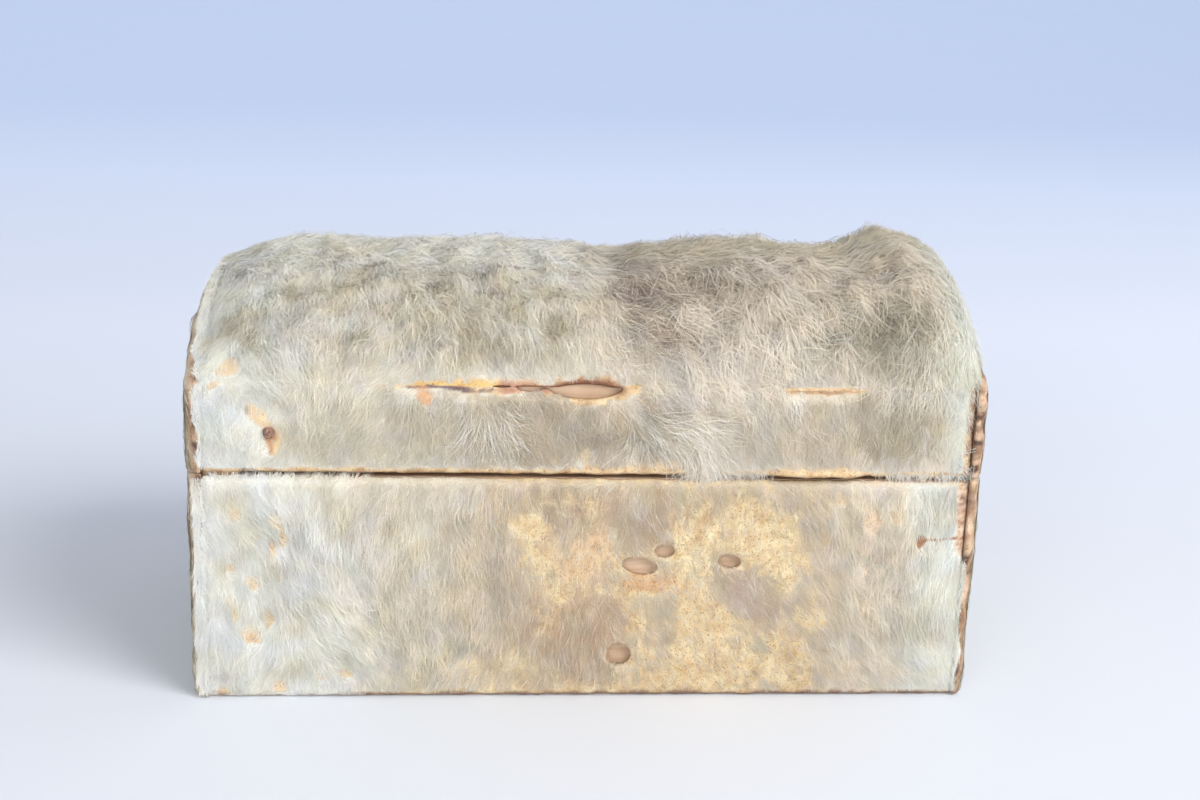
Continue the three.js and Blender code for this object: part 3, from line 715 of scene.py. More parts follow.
def grow_fur(hide, name, region, coat, count, seed):
    """Hairs of one coat over a region (left, right, low, high) of a hide. Roots are drawn at random
    and kept by the hide's density; each hair takes equal steps along the lay, lifting off early and
    lying down again; its sides are half its width out along the cross of its run and outward."""
    draw = np.random.default_rng(seed)
    tries = count * 8
    u = draw.uniform(region[0], region[1], tries)
    v = draw.uniform(region[2], region[3], tries)
    kept = np.flatnonzero(draw.random(tries) < hide.density(u, v))[:int(count * 1.25)]
    u, v = u[kept], v[kept]
    _, _, broad_i, broad_j = nearest_tuft(u, v, BROAD_TUFT, seed % 7 + 9)
    middle_u, middle_v, cell_i, cell_j = nearest_tuft(u, v, TUFT, seed % 7)
    wild = 1 + hide.unruly
    lean = (scatter(cell_i, cell_j, 2) - 0.5) * 0.5 * wild + (scatter(broad_i, broad_j, 3) - 0.5) * 0.5 * wild
    lean = lean + draw.normal(0, coat.spread * wild, len(u))
    lean += np.where(draw.random(len(u)) < STRAY_SHARE, draw.normal(0, STRAY_TURN, len(u)), 0)
    size = coat.length * draw.uniform(SHORTEST, LONGEST, len(u)) * (0.85 + 0.3 * scatter(cell_i, cell_j, 4))
    size = size * hide.length(u, v)
    share = free_share(hide, u, v, hide.lay(u, v) + lean, size, draw.uniform(0.3, 0.9, len(u)))
    kept = np.flatnonzero(share > 0.2)[:count]
    u, v, middle_u, middle_v, cell_i, cell_j, broad_i, broad_j, lean = (
        part[kept] for part in (u, v, middle_u, middle_v, cell_i, cell_j, broad_i, broad_j, lean)
    )
    size = (size * share)[kept]
    n, steps = len(u), coat.steps
    curl = draw.normal(0, 0.14 * wild, n)
    layer = draw.random(n) ** 0.8
    at_u, at_v = [u], [v]
    for step in range(steps):
        turn = hide.lay(at_u[-1], at_v[-1]) + lean + curl * step
        at_u.append(at_u[-1] + size / steps * np.cos(turn))
        at_v.append(at_v[-1] + size / steps * np.sin(turn))
    share = np.arange(steps + 1) / steps
    pull = DRAWN_TOGETHER * share**1.3
    at_u = np.stack(at_u, -1) + (middle_u - u)[:, None] * pull
    at_v = np.maximum(np.stack(at_v, -1) + (middle_v - v)[:, None] * pull, hide.foot)
    base = hide.surface(at_u, at_v) - 0.06
    rise = np.sin(np.minimum(1, share * 1.5) * np.pi / 2) - 0.3 * share**2
    free = (0.15 + hide.free_fur(at_u, at_v)) * layer[:, None]
    lift = base + (free + coat.loose * draw.random((n, 1)) ** 3) * rise
    points = hide.place(at_u, at_v, lift)
    outward = unit(hide.place(at_u, at_v, lift + 1.0) - points)
    run = unit(np.diff(points, axis=1))
    side = unit(np.cross(outward[:, :-1], run))
    roll = draw.uniform(-ROLL, ROLL, n)[:, None, None]
    side = side * np.cos(roll) + np.cross(run, side) * np.sin(roll)
    thin = (1 - 0.45 * share[:-1] ** 1.5) * coat.width / 2 * draw.uniform(0.7, 1.3, (n, 1))
    left = points[:, :-1] - side * thin[..., None]
    right = points[:, :-1] + side * thin[..., None]
    rings = np.stack([left, right], 2).reshape(n, 2 * steps, 3)
    ribbon = np.concatenate([rings, points[:, -1:]], 1)
    corners = 2 * steps + 1
    first = (np.arange(n) * corners)[:, None, None]
    ladder = np.arange(steps - 1)[:, None] * 2 + np.array([0, 2, 3, 1])
    quads = (first + ladder).reshape(-1, 4)
    tips = (first[:, 0] + np.array([2 * steps - 2, 2 * steps, 2 * steps - 1])).reshape(-1, 3)
    piece = mesh_object(name, ribbon.reshape(-1, 3), [quads, tips], HAIR_LOOK)
    shade = (0.88 + 0.24 * draw.random(n)) * (0.92 + 0.16 * scatter(cell_i, cell_j, 5))
    shade *= (0.95 + 0.1 * scatter(broad_i, broad_j, 6)) * (1 + 0.12 * cloud(u, v, 1.7, 7))
    along = np.append(np.repeat(share[:-1], 2), 1.0)
    # painted shade: hairs that lie lower in the coat are darker, and each hair darkens towards its root;
    # shade above is each hair's and tuft's own tone, varied at random
    lower_hair_shade = 0.88 + 0.12 * layer[:, None]
    hue = 1 + WARMTH * cloud(u, v, 4.2, 17)[:, None] + BLUSH * cloud(u, v, 2.7, 18)[:, None]
    tone_and_shade = shade[:, None] * lower_hair_shade * (0.93 + 0.12 * along)
    tint = (hide.fur_tint(u, v) * hue)[:, None, :] * tone_and_shade[..., None]
    pale = (draw.random(n) < coat.pale)[:, None, None]
    tint = np.where(pale, tint * 0.5 + colour(*PALE_HAIR) * 0.5, tint)
    give_colour(piece, "fur_tint", np.clip(tint, 0, 1).reshape(-1, 3))
    bend_light(piece, relief_normal(hide, at_u, at_v), side, run)
    lay_cells(piece, n, steps)
    return piece


def bend_light(piece, outward, side, run):
    """Shades each ribbon mostly as the fur it lies in: its normals lean from its own towards outward."""
    own = unit(np.cross(run, side))
    own *= np.sign(np.sum(own * outward[:, :-1], -1, keepdims=True))
    mixed = unit(own * OWN_SHARE + outward[:, :-1])
    tip = unit(mixed[:, -1:] + outward[:, -1:])
    normals = np.concatenate([np.repeat(mixed, 2, 1), tip], 1).reshape(-1, 3)
    piece.data.normals_split_custom_set_from_vertices(normals.astype(np.float32))


def lay_cells(piece, n, steps):
    """The map for baking: each ribbon stretched over its own small cell of a square grid of cells."""
    across = int(np.ceil(np.sqrt(n)))
    x = np.append(np.tile([0.12, 0.88], steps), 0.5)
    y = np.append(np.repeat(np.arange(steps) / steps, 2), 1.0) * 0.8 + 0.1
    cell = np.arange(n)
    spot = np.stack([(cell % across)[:, None] + x, (cell // across)[:, None] + y], -1) / across
    loops = np.zeros(len(piece.data.loops), np.int32)
    piece.data.loops.foreach_get("vertex_index", loops)
    layer = piece.data.uv_layers.new(name="OFBake")
    layer.data.foreach_set("uv", spot.reshape(-1, 2)[loops].astype(np.float32).ravel())


# Front hide of the body
# One flat panel, dense pale fur at both ends and worn to golden skin in the middle and right. Four
# oval holes go through it to the wood. Its lower edge is ragged bare skin.
# A place is (u, v, half width, half height) in mm, u from the middle and v from the table, then its
# turn in degrees and its strength where it has them; a stroke of the comb is (u, v, reach, degrees).
FRONT_THIN = ((26, 36, 58, 32, 0.85), (-98, 40, 13, 34, 0.5))
FRONT_HOLES = (
    (13.9, 39.8, 5.25, 2.7, -10), (20.8, 44.3, 3.0, 2.2, 0), (39.4, 41.3, 3.5, 2.2, -8),
    (8.5, 13.1, 3.9, 3.5, 0),
)
FRONT_SPOTS = (
    (-98.6, 55.1, 1.8, 3.2), (-87.8, 53.4, 1.6, 3.2), (-85.4, 48.8, 1.2, 3.0), (-88.8, 45.3, 1.1, 2.6),
    (-99.8, 39.1, 1.8, 1.4), (-93.7, 34.7, 2.0, 2.0), (-87.0, 36.8, 1.0, 1.3), (-100.9, 29.9, 1.2, 1.8),
    (-98.9, 24.9, 1.4, 2.6), (-90.1, 24.6, 1.6, 3.6), (-95.2, 19.5, 3.4, 3.0), (-81.7, 28.5, 1.1, 1.2),
    (-84.3, 10.7, 1.8, 1.2), (-87.2, 3.6, 2.4, 1.6), (-103.2, 1.8, 3.4, 1.8), (-75.7, 6.4, 2.2, 1.1),
    (-63.3, 43.9, 0.8, 2.6), (-50.9, 22.8, 1.2, 1.4), (-68.7, 7.9, 2.6, 1.3), (93.6, 48.5, 1.3, 3.0),
    (80.0, 53.0, 2.6, 3.4), (86.0, 56.0, 2.0, 3.0), (70.0, 60.0, 3.0, 2.0), (-17.0, 53.0, 5.0, 5.0),
)
FRONT_BARE = (
    (30, 51, 8, 10, 0, 0.85), (48, 51, 12, 12, 0, 1.0), (34, 27, 11, 12, -10, 0.95),
    (40, 10.5, 28, 9, 0, 0.95), (0, 44, 9, 7, 0, 0.85), (12, 23, 4, 5, 0, 0.85),
    (63, 25, 4.5, 7, 0, 0.8), (-14, 44, 9, 9, 0, 0.7),
    (27, 34, 56, 33, 0, 0.5), (-28, 9, 24, 8, 0, 0.55), (78, 36, 12, 26, 0, 0.4), (20, 4, 50, 4.5, 0, 0.8),
    (15, 34, 9, 4, 0, 0.95), (28, 41, 9, 4, 0, 0.9), (-26, 54, 14, 7, 0, 0.45), (54, 40, 9, 12, 0, 0.78),
    (57, 13, 8, 9, 0, 0.9), (101, 48.6, 8, 1.0, 0, 1.0), (-7, 36, 9, 9, 20, 0.75),
    (2, 60, 20, 4, 0, 0.6),
)
FRONT_TUFTED = (
    (13, 56, 9, 9, -15), (44, 33, 10, 7, -35), (0, 22, 9, 10, 0), (19, 28, 6, 3.5, 0), (72, 35, 5, 20, 0),
    (-32, 40, 12, 12, 0),
)
FRONT_COMBS = (
    (-72, 15, 12, 62), (-60, 10, 9, 38), (-50, 20, 12, 18), (-92, 58, 12, 22), (-84, 40, 14, 16),
    (-66, 30, 14, 26), (95, 12, 14, 24), (60, 40, 20, 12), (-30, 50, 18, 14), (100, 45, 12, 10),
)
CORNER_CRACK = ((101, 48.6), (8, 0.9))
FRONT_COLUMNS, FRONT_ROWS = 230, 70


def raw_right_edge(u, v, seed):
    """The raw end hide lapping round the right corner, wide beside the seam, narrow lower down."""
    width = -2.0 + 5.4 * smooth(v, 38, 47) + 1.0 * cloud(u * 0, v, 5.0, seed)
    return smooth(u - (HALF_LENGTH - width), 0, 0.6)


def front_spots(u, v):
    """The small bare spots, most of them at the left."""
    spots = [blot(u, v, (at_u, at_v), (ru, rv), 0, 0.6, 10) for at_u, at_v, ru, rv in FRONT_SPOTS]
    return np.maximum.reduce(spots)


def front_stop(u, v):
    """1 where no hair may reach: holes, bare spots, the seam, the ragged foot and past the ends."""
    foot = 0.6 + (0.9 + 0.9 * cloud(u, v * 0, 3.0, 11)) * smooth(u, -70, -50) - v
    right = u - HALF_LENGTH - 0.6 - (0.3 + 1.2 * cloud(u * 0, v, 7.0, 43)) * (1 - smooth(v, 40, 47))
    past = np.maximum.reduce([foot, v - FRONT_HEIGHT - 1.0, -u - HALF_LENGTH - 3.4, right])
    clear = np.maximum(near_holes(u, v, 0.3), 0.72 * front_spots(u, v))
    clear = np.maximum(clear, 0.8 * blot(u, v, *CORNER_CRACK, 0, 0.5, 37))
    return np.maximum.reduce([smooth(past, -0.4, 0.4), clear, raw_right_edge(u, v, 6)])


def front_bare(u, v):
    """How bare the front is: ragged patches of skin, less where tufts cross them."""
    bare = np.zeros(np.shape(u))
    for at_u, at_v, ru, rv, turn, strength in FRONT_BARE:
        bare = np.maximum(bare, strength * blot(u, v, (at_u, at_v), (ru, rv), turn, 0.6, 7))
    for at_u, at_v, ru, rv, turn in FRONT_TUFTED:
        bare = bare * (1 - 0.65 * blot(u, v, (at_u, at_v), (ru, rv), turn, 0.6, 8))
    bare = bare + 0.2 * cloud(u, v, 4.5, 9) * smooth(bare, 0, 0.4)
    bare = np.maximum(bare, 0.8 * front_spots(u, v))
    lower = 1 - smooth(v - HIDE_INSET + 0.9 * cloud(u, v * 0, 3.0, 11), 0.8, 2.6)
    upper = (1 - smooth(FRONT_HEIGHT - v + 0.6 * cloud(u, v, 4.0, 12), 0.4, 1.2)) * smooth(u, -35, -25)
    raw = raw_right_edge(u, v, 6)
    return np.clip(np.maximum.reduce([bare, 0.85 * lower * smooth(u, -90, -60), 0.7 * upper, raw]), 0, 1)


FRONT_FUR_STAINS = (
    ((194, 170, 146), (10, 56), (20, 8), -8, 0.9, 22, 0.7),
    ((194, 168, 142), (-2, 24), (15, 12), 20, 0.9, 23, 0.8),
    ((190, 170, 156), (45, 33), (11, 7), -35, 0.8, 25, 0.7),
)


def front_fur_tint(u, v):
    """Pale at both ends, browner in the middle."""
    drift = cloud(u, v, 14.0, 21)
    return tone_of(
        (228, 219, 200),
        ((238, 237, 229), (1 - smooth(u + 10 * drift, -80, -46))),
        ((210, 194, 170), smooth(u + 8 * drift, -48, -14)),
        *stains(u, v, FRONT_FUR_STAINS),
        ((228, 217, 198), smooth(u + 6 * drift, 58, 78)),
        ((230, 230, 220), smooth(u + 6 * drift, 86, 95)),
        ((196, 186, 156), smooth(cloud(u, v, 6.0, 24), 0.1, 0.6) * 0.4),
        ((232, 230, 220), smooth(cloud(u, v, 5.0, 26), 0.2, 0.7) * 0.35),
    )


FRONT_PINK_SKIN = (
    ((218, 192, 164), (-2, 46), (10, 12), 0, 0.7, 33, 0.6),
    ((210, 168, 130), (16, 35), (8, 3), 0, 0.6, 35, 0.6),
)
FRONT_RUST = (
    ((150, 96, 58), (93.6, 48.5), (1.8, 3.4), 0, 0.6, 36, 0.8),
    ((150, 108, 76), (102, 48.4), (8.0, 0.5), 0, 0.5, 37, 0.9),
)


def front_skin_tint(u, v):
    """Golden skin, pinker in places, purple-brown at the foot and rusty at the crack."""
    return tone_of(
        (222, 206, 170),
        ((232, 219, 182), smooth(cloud(u, v, 11.0, 31), 0, 0.7)),
        ((232, 214, 184), 1 - smooth(u, -80, -55)),
        ((224, 208, 190), smooth(u, 64, 80)),
        ((204, 180, 142), smooth(cloud(u, v, 6.0, 32), 0.15, 0.7) * 0.7),
        ((180, 160, 116), smooth(cloud(u, v, 3.0, 40), 0.35, 0.75) * 0.5),
        *stains(u, v, FRONT_PINK_SKIN),
        ((130, 100, 92), (1 - smooth(v + 1.2 * cloud(u, v * 0, 3.5, 34), 1.0, 2.2)) * 0.85),
        *stains(u, v, FRONT_RUST),
        ((206, 178, 160), raw_right_edge(u, v, 6) * smooth(cloud(u, v * 2, 2.4, 38), -0.3, 0.3)),
        ((134, 102, 86), raw_right_edge(u, v, 6) * smooth(cloud(u, v * 3, 2.0, 39), 0.2, 0.5)),
    )


def round_holes(u, v, kept, holes):
    """Cuts the ovals out of the grid: drops cells whose middle is inside one, and draws the corners
    left on the edge of each hole to its outline."""
    mid_u = (u[:-1, :-1] + u[1:, 1:]) / 2
    mid_v = (v[:-1, :-1] + v[1:, 1:]) / 2
    for at_u, at_v, ru, rv, turn in holes:
        a = np.radians(turn)

        def radius(x, y):
            along = (x - at_u) * np.cos(a) + (y - at_v) * np.sin(a)
            return np.hypot(along / ru, ((y - at_v) * np.cos(a) - (x - at_u) * np.sin(a)) / rv)

        gone = radius(mid_u, mid_v) < 1
        kept = kept & ~gone
        touched = np.zeros(u.shape, bool)
        stays = np.zeros(u.shape, bool)
        for rows in (slice(None, -1), slice(1, None)):
            for columns in (slice(None, -1), slice(1, None)):
                touched[rows, columns] |= gone
                stays[rows, columns] |= ~gone
        rim = touched & stays
        reach = np.where(rim, np.maximum(radius(u, v), 0.3), 1.0)
        u, v = at_u + (u - at_u) / reach, at_v + (v - at_v) / reach
    return u, v, kept


def near_holes(u, v, grow):
    """1 inside any oval grown by that many mm."""
    near = np.zeros(np.shape(u))
    for at_u, at_v, ru, rv, turn in FRONT_HOLES:
        near = np.maximum(near, blot(u, v, (at_u, at_v), (ru + grow, rv + grow), turn, 0.0))
    return near


FOOT = 0.15              # the lowest that a hair of the body reaches, just over the table
FACE = dict(left=-HALF_LENGTH, right=HALF_LENGTH, low=HIDE_INSET, high=FRONT_HEIGHT - SEAM_INSET, foot=FOOT)
front = finish_hide(SimpleNamespace(
    **FACE, seed=1, place=on_front, lock_lay=lay_down, lay=combed(lay_down, FRONT_COMBS), thin=FRONT_THIN,
    fur=lambda u, v: FUR + 0 * u, bare=front_bare, fur_tint=front_fur_tint, skin_tint=front_skin_tint,
    density=lambda u, v: (1 - 0.86 * smooth(front_bare(u, v), 0.12, 0.8)) * (1 - 0.92 * front_spots(u, v)),
    length=lambda u, v: 1 - 0.4 * smooth(front_bare(u, v), 0.1, 0.6), stop=front_stop,
))
front_u, front_v, front_kept = plain_grid(front, FRONT_COLUMNS, FRONT_ROWS)
front_v = front_v + 0.35 * cloud(front_u, front_v, 3.0, 41) * (1 - smooth(front.high - front_v, 0, 4))
front_v = front_v + 0.55 * cloud(front_u, front_v, 2.6, 42) * (1 - smooth(front_v - front.low, 0, 4))
front_v = np.maximum(front_v, FOOT)
front_u, front_v, front_kept = round_holes(front_u, front_v, front_kept, FRONT_HOLES)
make_sheet(front, "body_front_skin", "body_front_hide", front_u, front_v, front_kept)
OVERHANG, SHORT_OVERHANG = 2.8, 1.5     # how far past the boards' ends hair is rooted
FRONT_REGION = (front.left - OVERHANG, front.right + SHORT_OVERHANG, front.low + 0.3, front.high)
grow_fur(front, "body_front_undercoat", FRONT_REGION, UNDERCOAT, 102000, 101)
grow_fur(front, "body_front_hair", FRONT_REGION, TOP_COAT, 28000, 102)
FRINGE_REGION = (front.left, front.right, front.high - 1.6, front.high)
grow_fur(front, "body_front_fringe", FRINGE_REGION, FRINGE, 7500, 103)

# Short hairs at the left stand up across the seam
standing = SimpleNamespace(**vars(front))
standing.lay = lambda u, v: np.radians(70 + 40 * np.sin(u * 0.9))
standing.stop = lambda u, v: 0 * u
STANDING_REGION = (-106, -62, front.high - 1.2, front.high - 0.2)
grow_fur(standing, "body_front_standing_hair", STANDING_REGION, FRINGE, 700, 104)


# Back hide of the body
# The same stuff as the front, out of sight in the photograph, and so plainer: even fur, a few thin
# places.
def plain_tint(seed):
    """Even fur for the hidden sides, paler towards both ends."""
    def tint(u, v):
        return tone_of(
            (214, 205, 186),
            ((224, 222, 212), smooth(np.abs(u) + 8 * cloud(u, v, 12.0, seed), 60, 100)),
            ((192, 180, 154), smooth(cloud(u, v, 10.0, seed + 1), 0.1, 0.7) * 0.7),
            ((204, 188, 168), smooth(cloud(u, v, 24.0, seed + 2), 0.0, 0.6) * 0.6),
        )

    return tint


def plain_skin_tint(u, v):
    """Pale skin with darker clouds."""
    return tone_of(
        (234, 210, 170),
        ((214, 180, 140), smooth(cloud(u, v, 6.0, 51), 0.1, 0.7) * 0.8),
    )


def plain_bare(seed, border):
    """Bare along the edge, and in small worn spots."""
    def bare(u, v):
        spots = smooth(cloud(u, v, 7.0, seed) + 0.3 * cloud(u, v, 30.0, seed + 1), 0.62, 0.85)
        edge = 1 - smooth(border(u, v) + 0.5 * cloud(u, v, 3.0, seed + 2), 0.5, 1.8)
        return np.maximum(0.9 * spots, 0.8 * edge)

    return bare


def plain_border(u, v):
    """Distance in from the back's edges, upper or lower."""
    return np.minimum(v - HIDE_INSET, FRONT_HEIGHT - v)


back_bare = plain_bare(61, plain_border)
back = finish_hide(SimpleNamespace(
    **FACE, seed=11, place=on_back, lock_lay=lay_down, lay=lay_down, fur=lambda u, v: FUR + 0 * u,
    bare=back_bare, fur_tint=plain_tint(62), skin_tint=plain_skin_tint,
    density=lambda u, v: 1 - 0.92 * smooth(back_bare(u, v), 0.2, 0.7),
    stop=lambda u, v: smooth(np.maximum(0.6 - v, np.abs(u) - HALF_LENGTH - 0.9), -0.4, 0.4),
))
BACK_COLUMNS, BACK_ROWS = 120, 36
make_sheet(back, "body_back_skin", "body_back_hide", *plain_grid(back, BACK_COLUMNS, BACK_ROWS))
BACK_REGION = (back.left, back.right, back.low + 0.3, back.high)
grow_fur(back, "body_back_undercoat", BACK_REGION, HIDDEN_UNDERCOAT, 38000, 111)
grow_fur(back, "body_back_hair", BACK_REGION, HIDDEN_TOP_COAT, 8000, 112)


# End hides
# Two flat panels on the body's ends and two arched ones on the lid's, over the cut edges of the
# other hides. Their raw edges are dry, brown and puckered, more on the right than on the left.
PUCKERS = {"left": (0.5, 0.7), "right": (1.1, 2.0)}      # of the body's end and of the lid's
STAND_OFF = {"left": (2.8, 2.8), "right": (2.2, 1.9)}    # how far the dry hides bulge off the boards
RAW_EDGE = 2.6
END_COLUMNS, END_ROWS, ARCH_ROWS = 90, 40, 34


def pucker_at(distance, along, height):
    """Puckers along the raw edge: half a wave up and down, dying away inwards."""
    wave = 0.5 + 0.5 * np.sin(2 * np.pi * along / PUCKER_PITCH + 2.5 * cloud(along, distance * 0, 11.0, 75))
    twist = 0.5 + 0.5 * cloud(along, distance * 2, 1.9, 71)
    return height * (0.6 * wave + 0.4 * twist) * (1 - smooth(distance, 0, PUCKER_WIDTH))


def edge_skin_tint(border):
    """Pale skin inwards, burnt brown and dirty along the raw edge."""
    def tint(u, v):
        near = 1 - smooth(border(u, v), 0, RAW_EDGE)
        return tone_of(
            (222, 200, 178),
            ((148, 118, 98), near * smooth(cloud(u, v, 4.0, 72), -0.4, 0.3) * 0.9),
            ((226, 200, 178), near * smooth(cloud(u, v, 5.0, 73), 0.2, 0.6) * 0.8),
            ((88, 66, 58), near * smooth(cloud(u, v, 2.4, 74), 0.15, 0.45) * 0.9),
        )

    return tint


def end_bare(border, seed):
    """Bare along the raw edge, and in a few worn spots."""
    def bare(u, v):
        raw = 1 - smooth(border(u, v) + 0.5 * cloud(u, v, 3.0, seed), RAW_EDGE * 0.6, RAW_EDGE)
        spots = smooth(cloud(u, v, 8.0, seed + 1), 0.6, 0.85)
        return np.maximum(raw, 0.9 * spots)

    return bare


END_FACE = dict(left=-END_REACH, right=END_REACH, low=HIDE_INSET, high=BODY_HEIGHT - SEAM_INSET, foot=FOOT)
ARCH_LOW = SEAM + SEAM_INSET
ARCH_FACE = dict(left=-END_REACH, right=END_REACH, low=ARCH_LOW, high=float(ARCH_Z.max()))


def end_border(u, v):
    """Distance in from the raw edges of a flat end, front or back."""
    return END_REACH - np.abs(u)


def arch_border(u, v):
    """Distance in from the raw edges of an arched end, at the sides or under the arch."""
    return np.minimum(END_REACH - np.abs(u), arch_top(u) - v)


def end_hide(face, side, seed, pucker, stand_off, border):
    """Description of an end hide, flat or arched, with its puckered raw edge."""
    bare = end_bare(border, seed + 2)

    def extra(u, v):
        distance = border(u, v)
        bulge = (END_FUR * MATTED + stand_off) * smooth(distance, 0, PUCKER_WIDTH)
        return pucker_at(distance, u + v, pucker) + bulge

    return finish_hide(SimpleNamespace(
        **face, seed=seed, place=on_end(side), lock_lay=lay_down, lay=lay_down, fur=lambda u, v: 0 * u,
        bare=bare, fur_tint=plain_tint(seed + 3), skin_tint=edge_skin_tint(border), extra=extra,
        border=border,
        density=lambda u, v: (1 - 0.95 * smooth(bare(u, v), 0.2, 0.7)) * (border(u, v) > 0.3),
        stop=lambda u, v: np.maximum(
            smooth(0.5 - border(u, v), -0.5, 0.5), smooth(face["low"] - v, -0.5, 0.3)
        ),
    ))


def arch_grid(columns, rows):
    """A grid under the arch: columns stand at equal steps of its outline, rows share the height."""
    s = np.linspace(RAIL_HEIGHT, SECTION_RUN - RAIL_HEIGHT, columns + 1)
    y, z = arch_outline(s)
    share = np.linspace(0, 1, rows + 1)[:, None]
    u = np.broadcast_to(y, (rows + 1, columns + 1)).copy()
    return u, ARCH_LOW + share * (z - ARCH_LOW), np.ones((rows, columns), bool)


END_REGION = (-END_REACH, END_REACH, HIDE_INSET + 0.5, BODY_HEIGHT)
ARCH_REGION = (-END_REACH, END_REACH, ARCH_LOW + 0.5, ARCH_FACE["high"])
for hand, side, seed in (("left", -1, 21), ("right", 1, 31)):
    end = end_hide(END_FACE, side, seed, PUCKERS[hand][0], STAND_OFF[hand][0], end_border)
    make_sheet(end, f"body_{hand}_skin", f"body_{hand}_hide", *plain_grid(end, END_COLUMNS, END_ROWS))
    grow_fur(end, f"body_{hand}_undercoat", END_REGION, HIDDEN_UNDERCOAT, 17000, seed + 200)
    grow_fur(end, f"body_{hand}_hair", END_REGION, HIDDEN_TOP_COAT, 3500, seed + 300)
    arch = end_hide(ARCH_FACE, side, seed + 2, PUCKERS[hand][1], STAND_OFF[hand][1], arch_border)
    make_sheet(arch, f"lid_{hand}_skin", f"lid_{hand}_hide", *arch_grid(END_COLUMNS, ARCH_ROWS))
    grow_fur(arch, f"lid_{hand}_undercoat", ARCH_REGION, HIDDEN_UNDERCOAT, 12000, seed + 400)
    grow_fur(arch, f"lid_{hand}_hair", ARCH_REGION, HIDDEN_TOP_COAT, 2500, seed + 500)


# Hide of the lid
# One sheet up the front rail, over the dome and down the back. Its fur is the longest and thickest
# on the box, swept to the right and down right of a parting, and rubbed off along the front ridge,
# where holes go through to the wood. Its lower edge is bare, and curls out at one place. Here v runs
# along the section from the lower front edge. A long lock is (u, v, degrees, length, half width,
# height), a swell (u, half width, height).
TOP_THIN = ((-91, 15, 10, 9, 0.9), (-24, 26, 33, 4, 1.0), (62, 26, 14, 3, 0.8), (5, 7, 12, 6, 0.9))
LONG_LOCKS = (
    (4, 62, -62, 40, 13, 3), (22, 42, -75, 38, 12, 2.6), (12, 27, -52, 30, 12, 2.4),
    (34, 66, -35, 40, 15, 2.6), (48, 34, -60, 32, 13, 2), (70, 56, -40, 34, 14, 2.2),
    (-24, 58, -105, 30, 13, 1.6), (-62, 62, -95, 30, 14, 1.4),
)
SWELLS = ((7.5, 12, -2.2), (42, 26, 1.9), (60, 20, 1.2), (86, 17, 1.6), (-38, 34, 0.8))
CORNER_FUR = 5.2
CORNER_TURN = 107.0
LEFT_FLAT = 1.9
LIP_MIDDLE, LIP_HALF, LIP_WIDTH, LIP_CURL = 63.0, 15.0, 5.0, 2.2
RIDGE_HOLES = ((-2.8, 25.4, 10.4, 3.4, 0), (-17.8, 25.8, 4.2, 2.0, 0), (-25.6, 26.2, 2.6, 1.3, 0))
TOP_COLUMNS, RAIL_ROWS, DOME_ROWS, BACK_ROWS_OF_LID = 170, 40, 62, 12
TOP_COMBS = (
    (4, 60, 14, 26), (26, 46, 16, 26), (40, 30, 18, 20), (60, 44, 18, 18), (20, 14, 10, 34), (-20, 14, 9, 38),
    (-88, 27, 12, 40), (-60, 20, 20, -12), (88, 40, 16, 12), (12, 24, 9, 26),
)
TOP_BARE = (
    (-91.3, 16, 5.0, 2.0, -50, 0.66), (-87.5, 9.5, 3.0, 3.8, 0, 0.7), (-99, 32, 4.8, 2.6, 25, 0.62),
    (-104, 25, 3.0, 1.4, 40, 0.6), (-30, 26.2, 25, 2.5, 0, 1.0), (-2, 25.6, 14, 4.4, 0, 1.0),
    (62, 25.8, 14, 1.9, 0, 0.85), (-46, 22.4, 2.4, 2.6, 20, 0.6), (-2, 6.5, 1.4, 3.0, 10, 0.58),
    (-11, 5.5, 1.0, 2.2, 0, 0.56), (13, 5.0, 8, 3.4, 12, 0.56), (10, 25.5, 3, 2.4, 0, 0.9),
    (21, 4.5, 5, 2.5, 0, 0.6),
)


def top_fur(u, v):
    """Thickness of the fur beside a lock: more on the dome, with swells and a parting."""
    swell = sum(height * (1 - smooth(np.abs(u - at), 0, half)) for at, half, height in SWELLS)
    return FUR + (DOME_FUR + swell) * on_dome(v)


def lower_edge(u, v):
    """Distance in from the sheet's ragged lower edge, front or back."""
    return np.minimum(v, SECTION_RUN - v) - (RAIL_BOTTOM - SEAM) - SEAM_INSET


def lip_at(u, v):
    """The bare lip that stands out at the lower front edge: full at the edge, gone a lip's width up."""
    along = 1 - smooth(np.abs(u - LIP_MIDDLE), LIP_HALF / 2, LIP_HALF)
    return along * (1 - smooth(v, 0.3, 0.3 + LIP_WIDTH))


def lip_folds(u, v):
    """Folds in the lip: short waves across it, deepest halfway up."""
    wave = np.sin(u * 1.15 + 2.2 * cloud(u, v, 5.0, 141))
    return 0.7 * wave * lip_at(u, v + 1.5) * smooth(v, 0.5, 2.0)


def full_corner(u, v):
    """The thick fur that fills out the dome's right end, and the flat fur at its left."""
    rounded = np.sqrt(1 - np.clip((u - CORNER_TURN) / (HALF_LENGTH - CORNER_TURN), 0, 1) ** 2)
    fuller = CORNER_FUR * smooth(u, 78, 95) * rounded - LEFT_FLAT * (1 - smooth(u, -108, -86))
    return fuller * on_dome(v) * (1 - smooth(v, CREST + 10, CREST + 40))


def hangs_over(u):
    """1 where the lid's hair hangs over the seam: one pale lock, and the right end."""
    return np.maximum(1 - smooth(np.abs(u - 37), 7, 17), smooth(u, 76, 92))


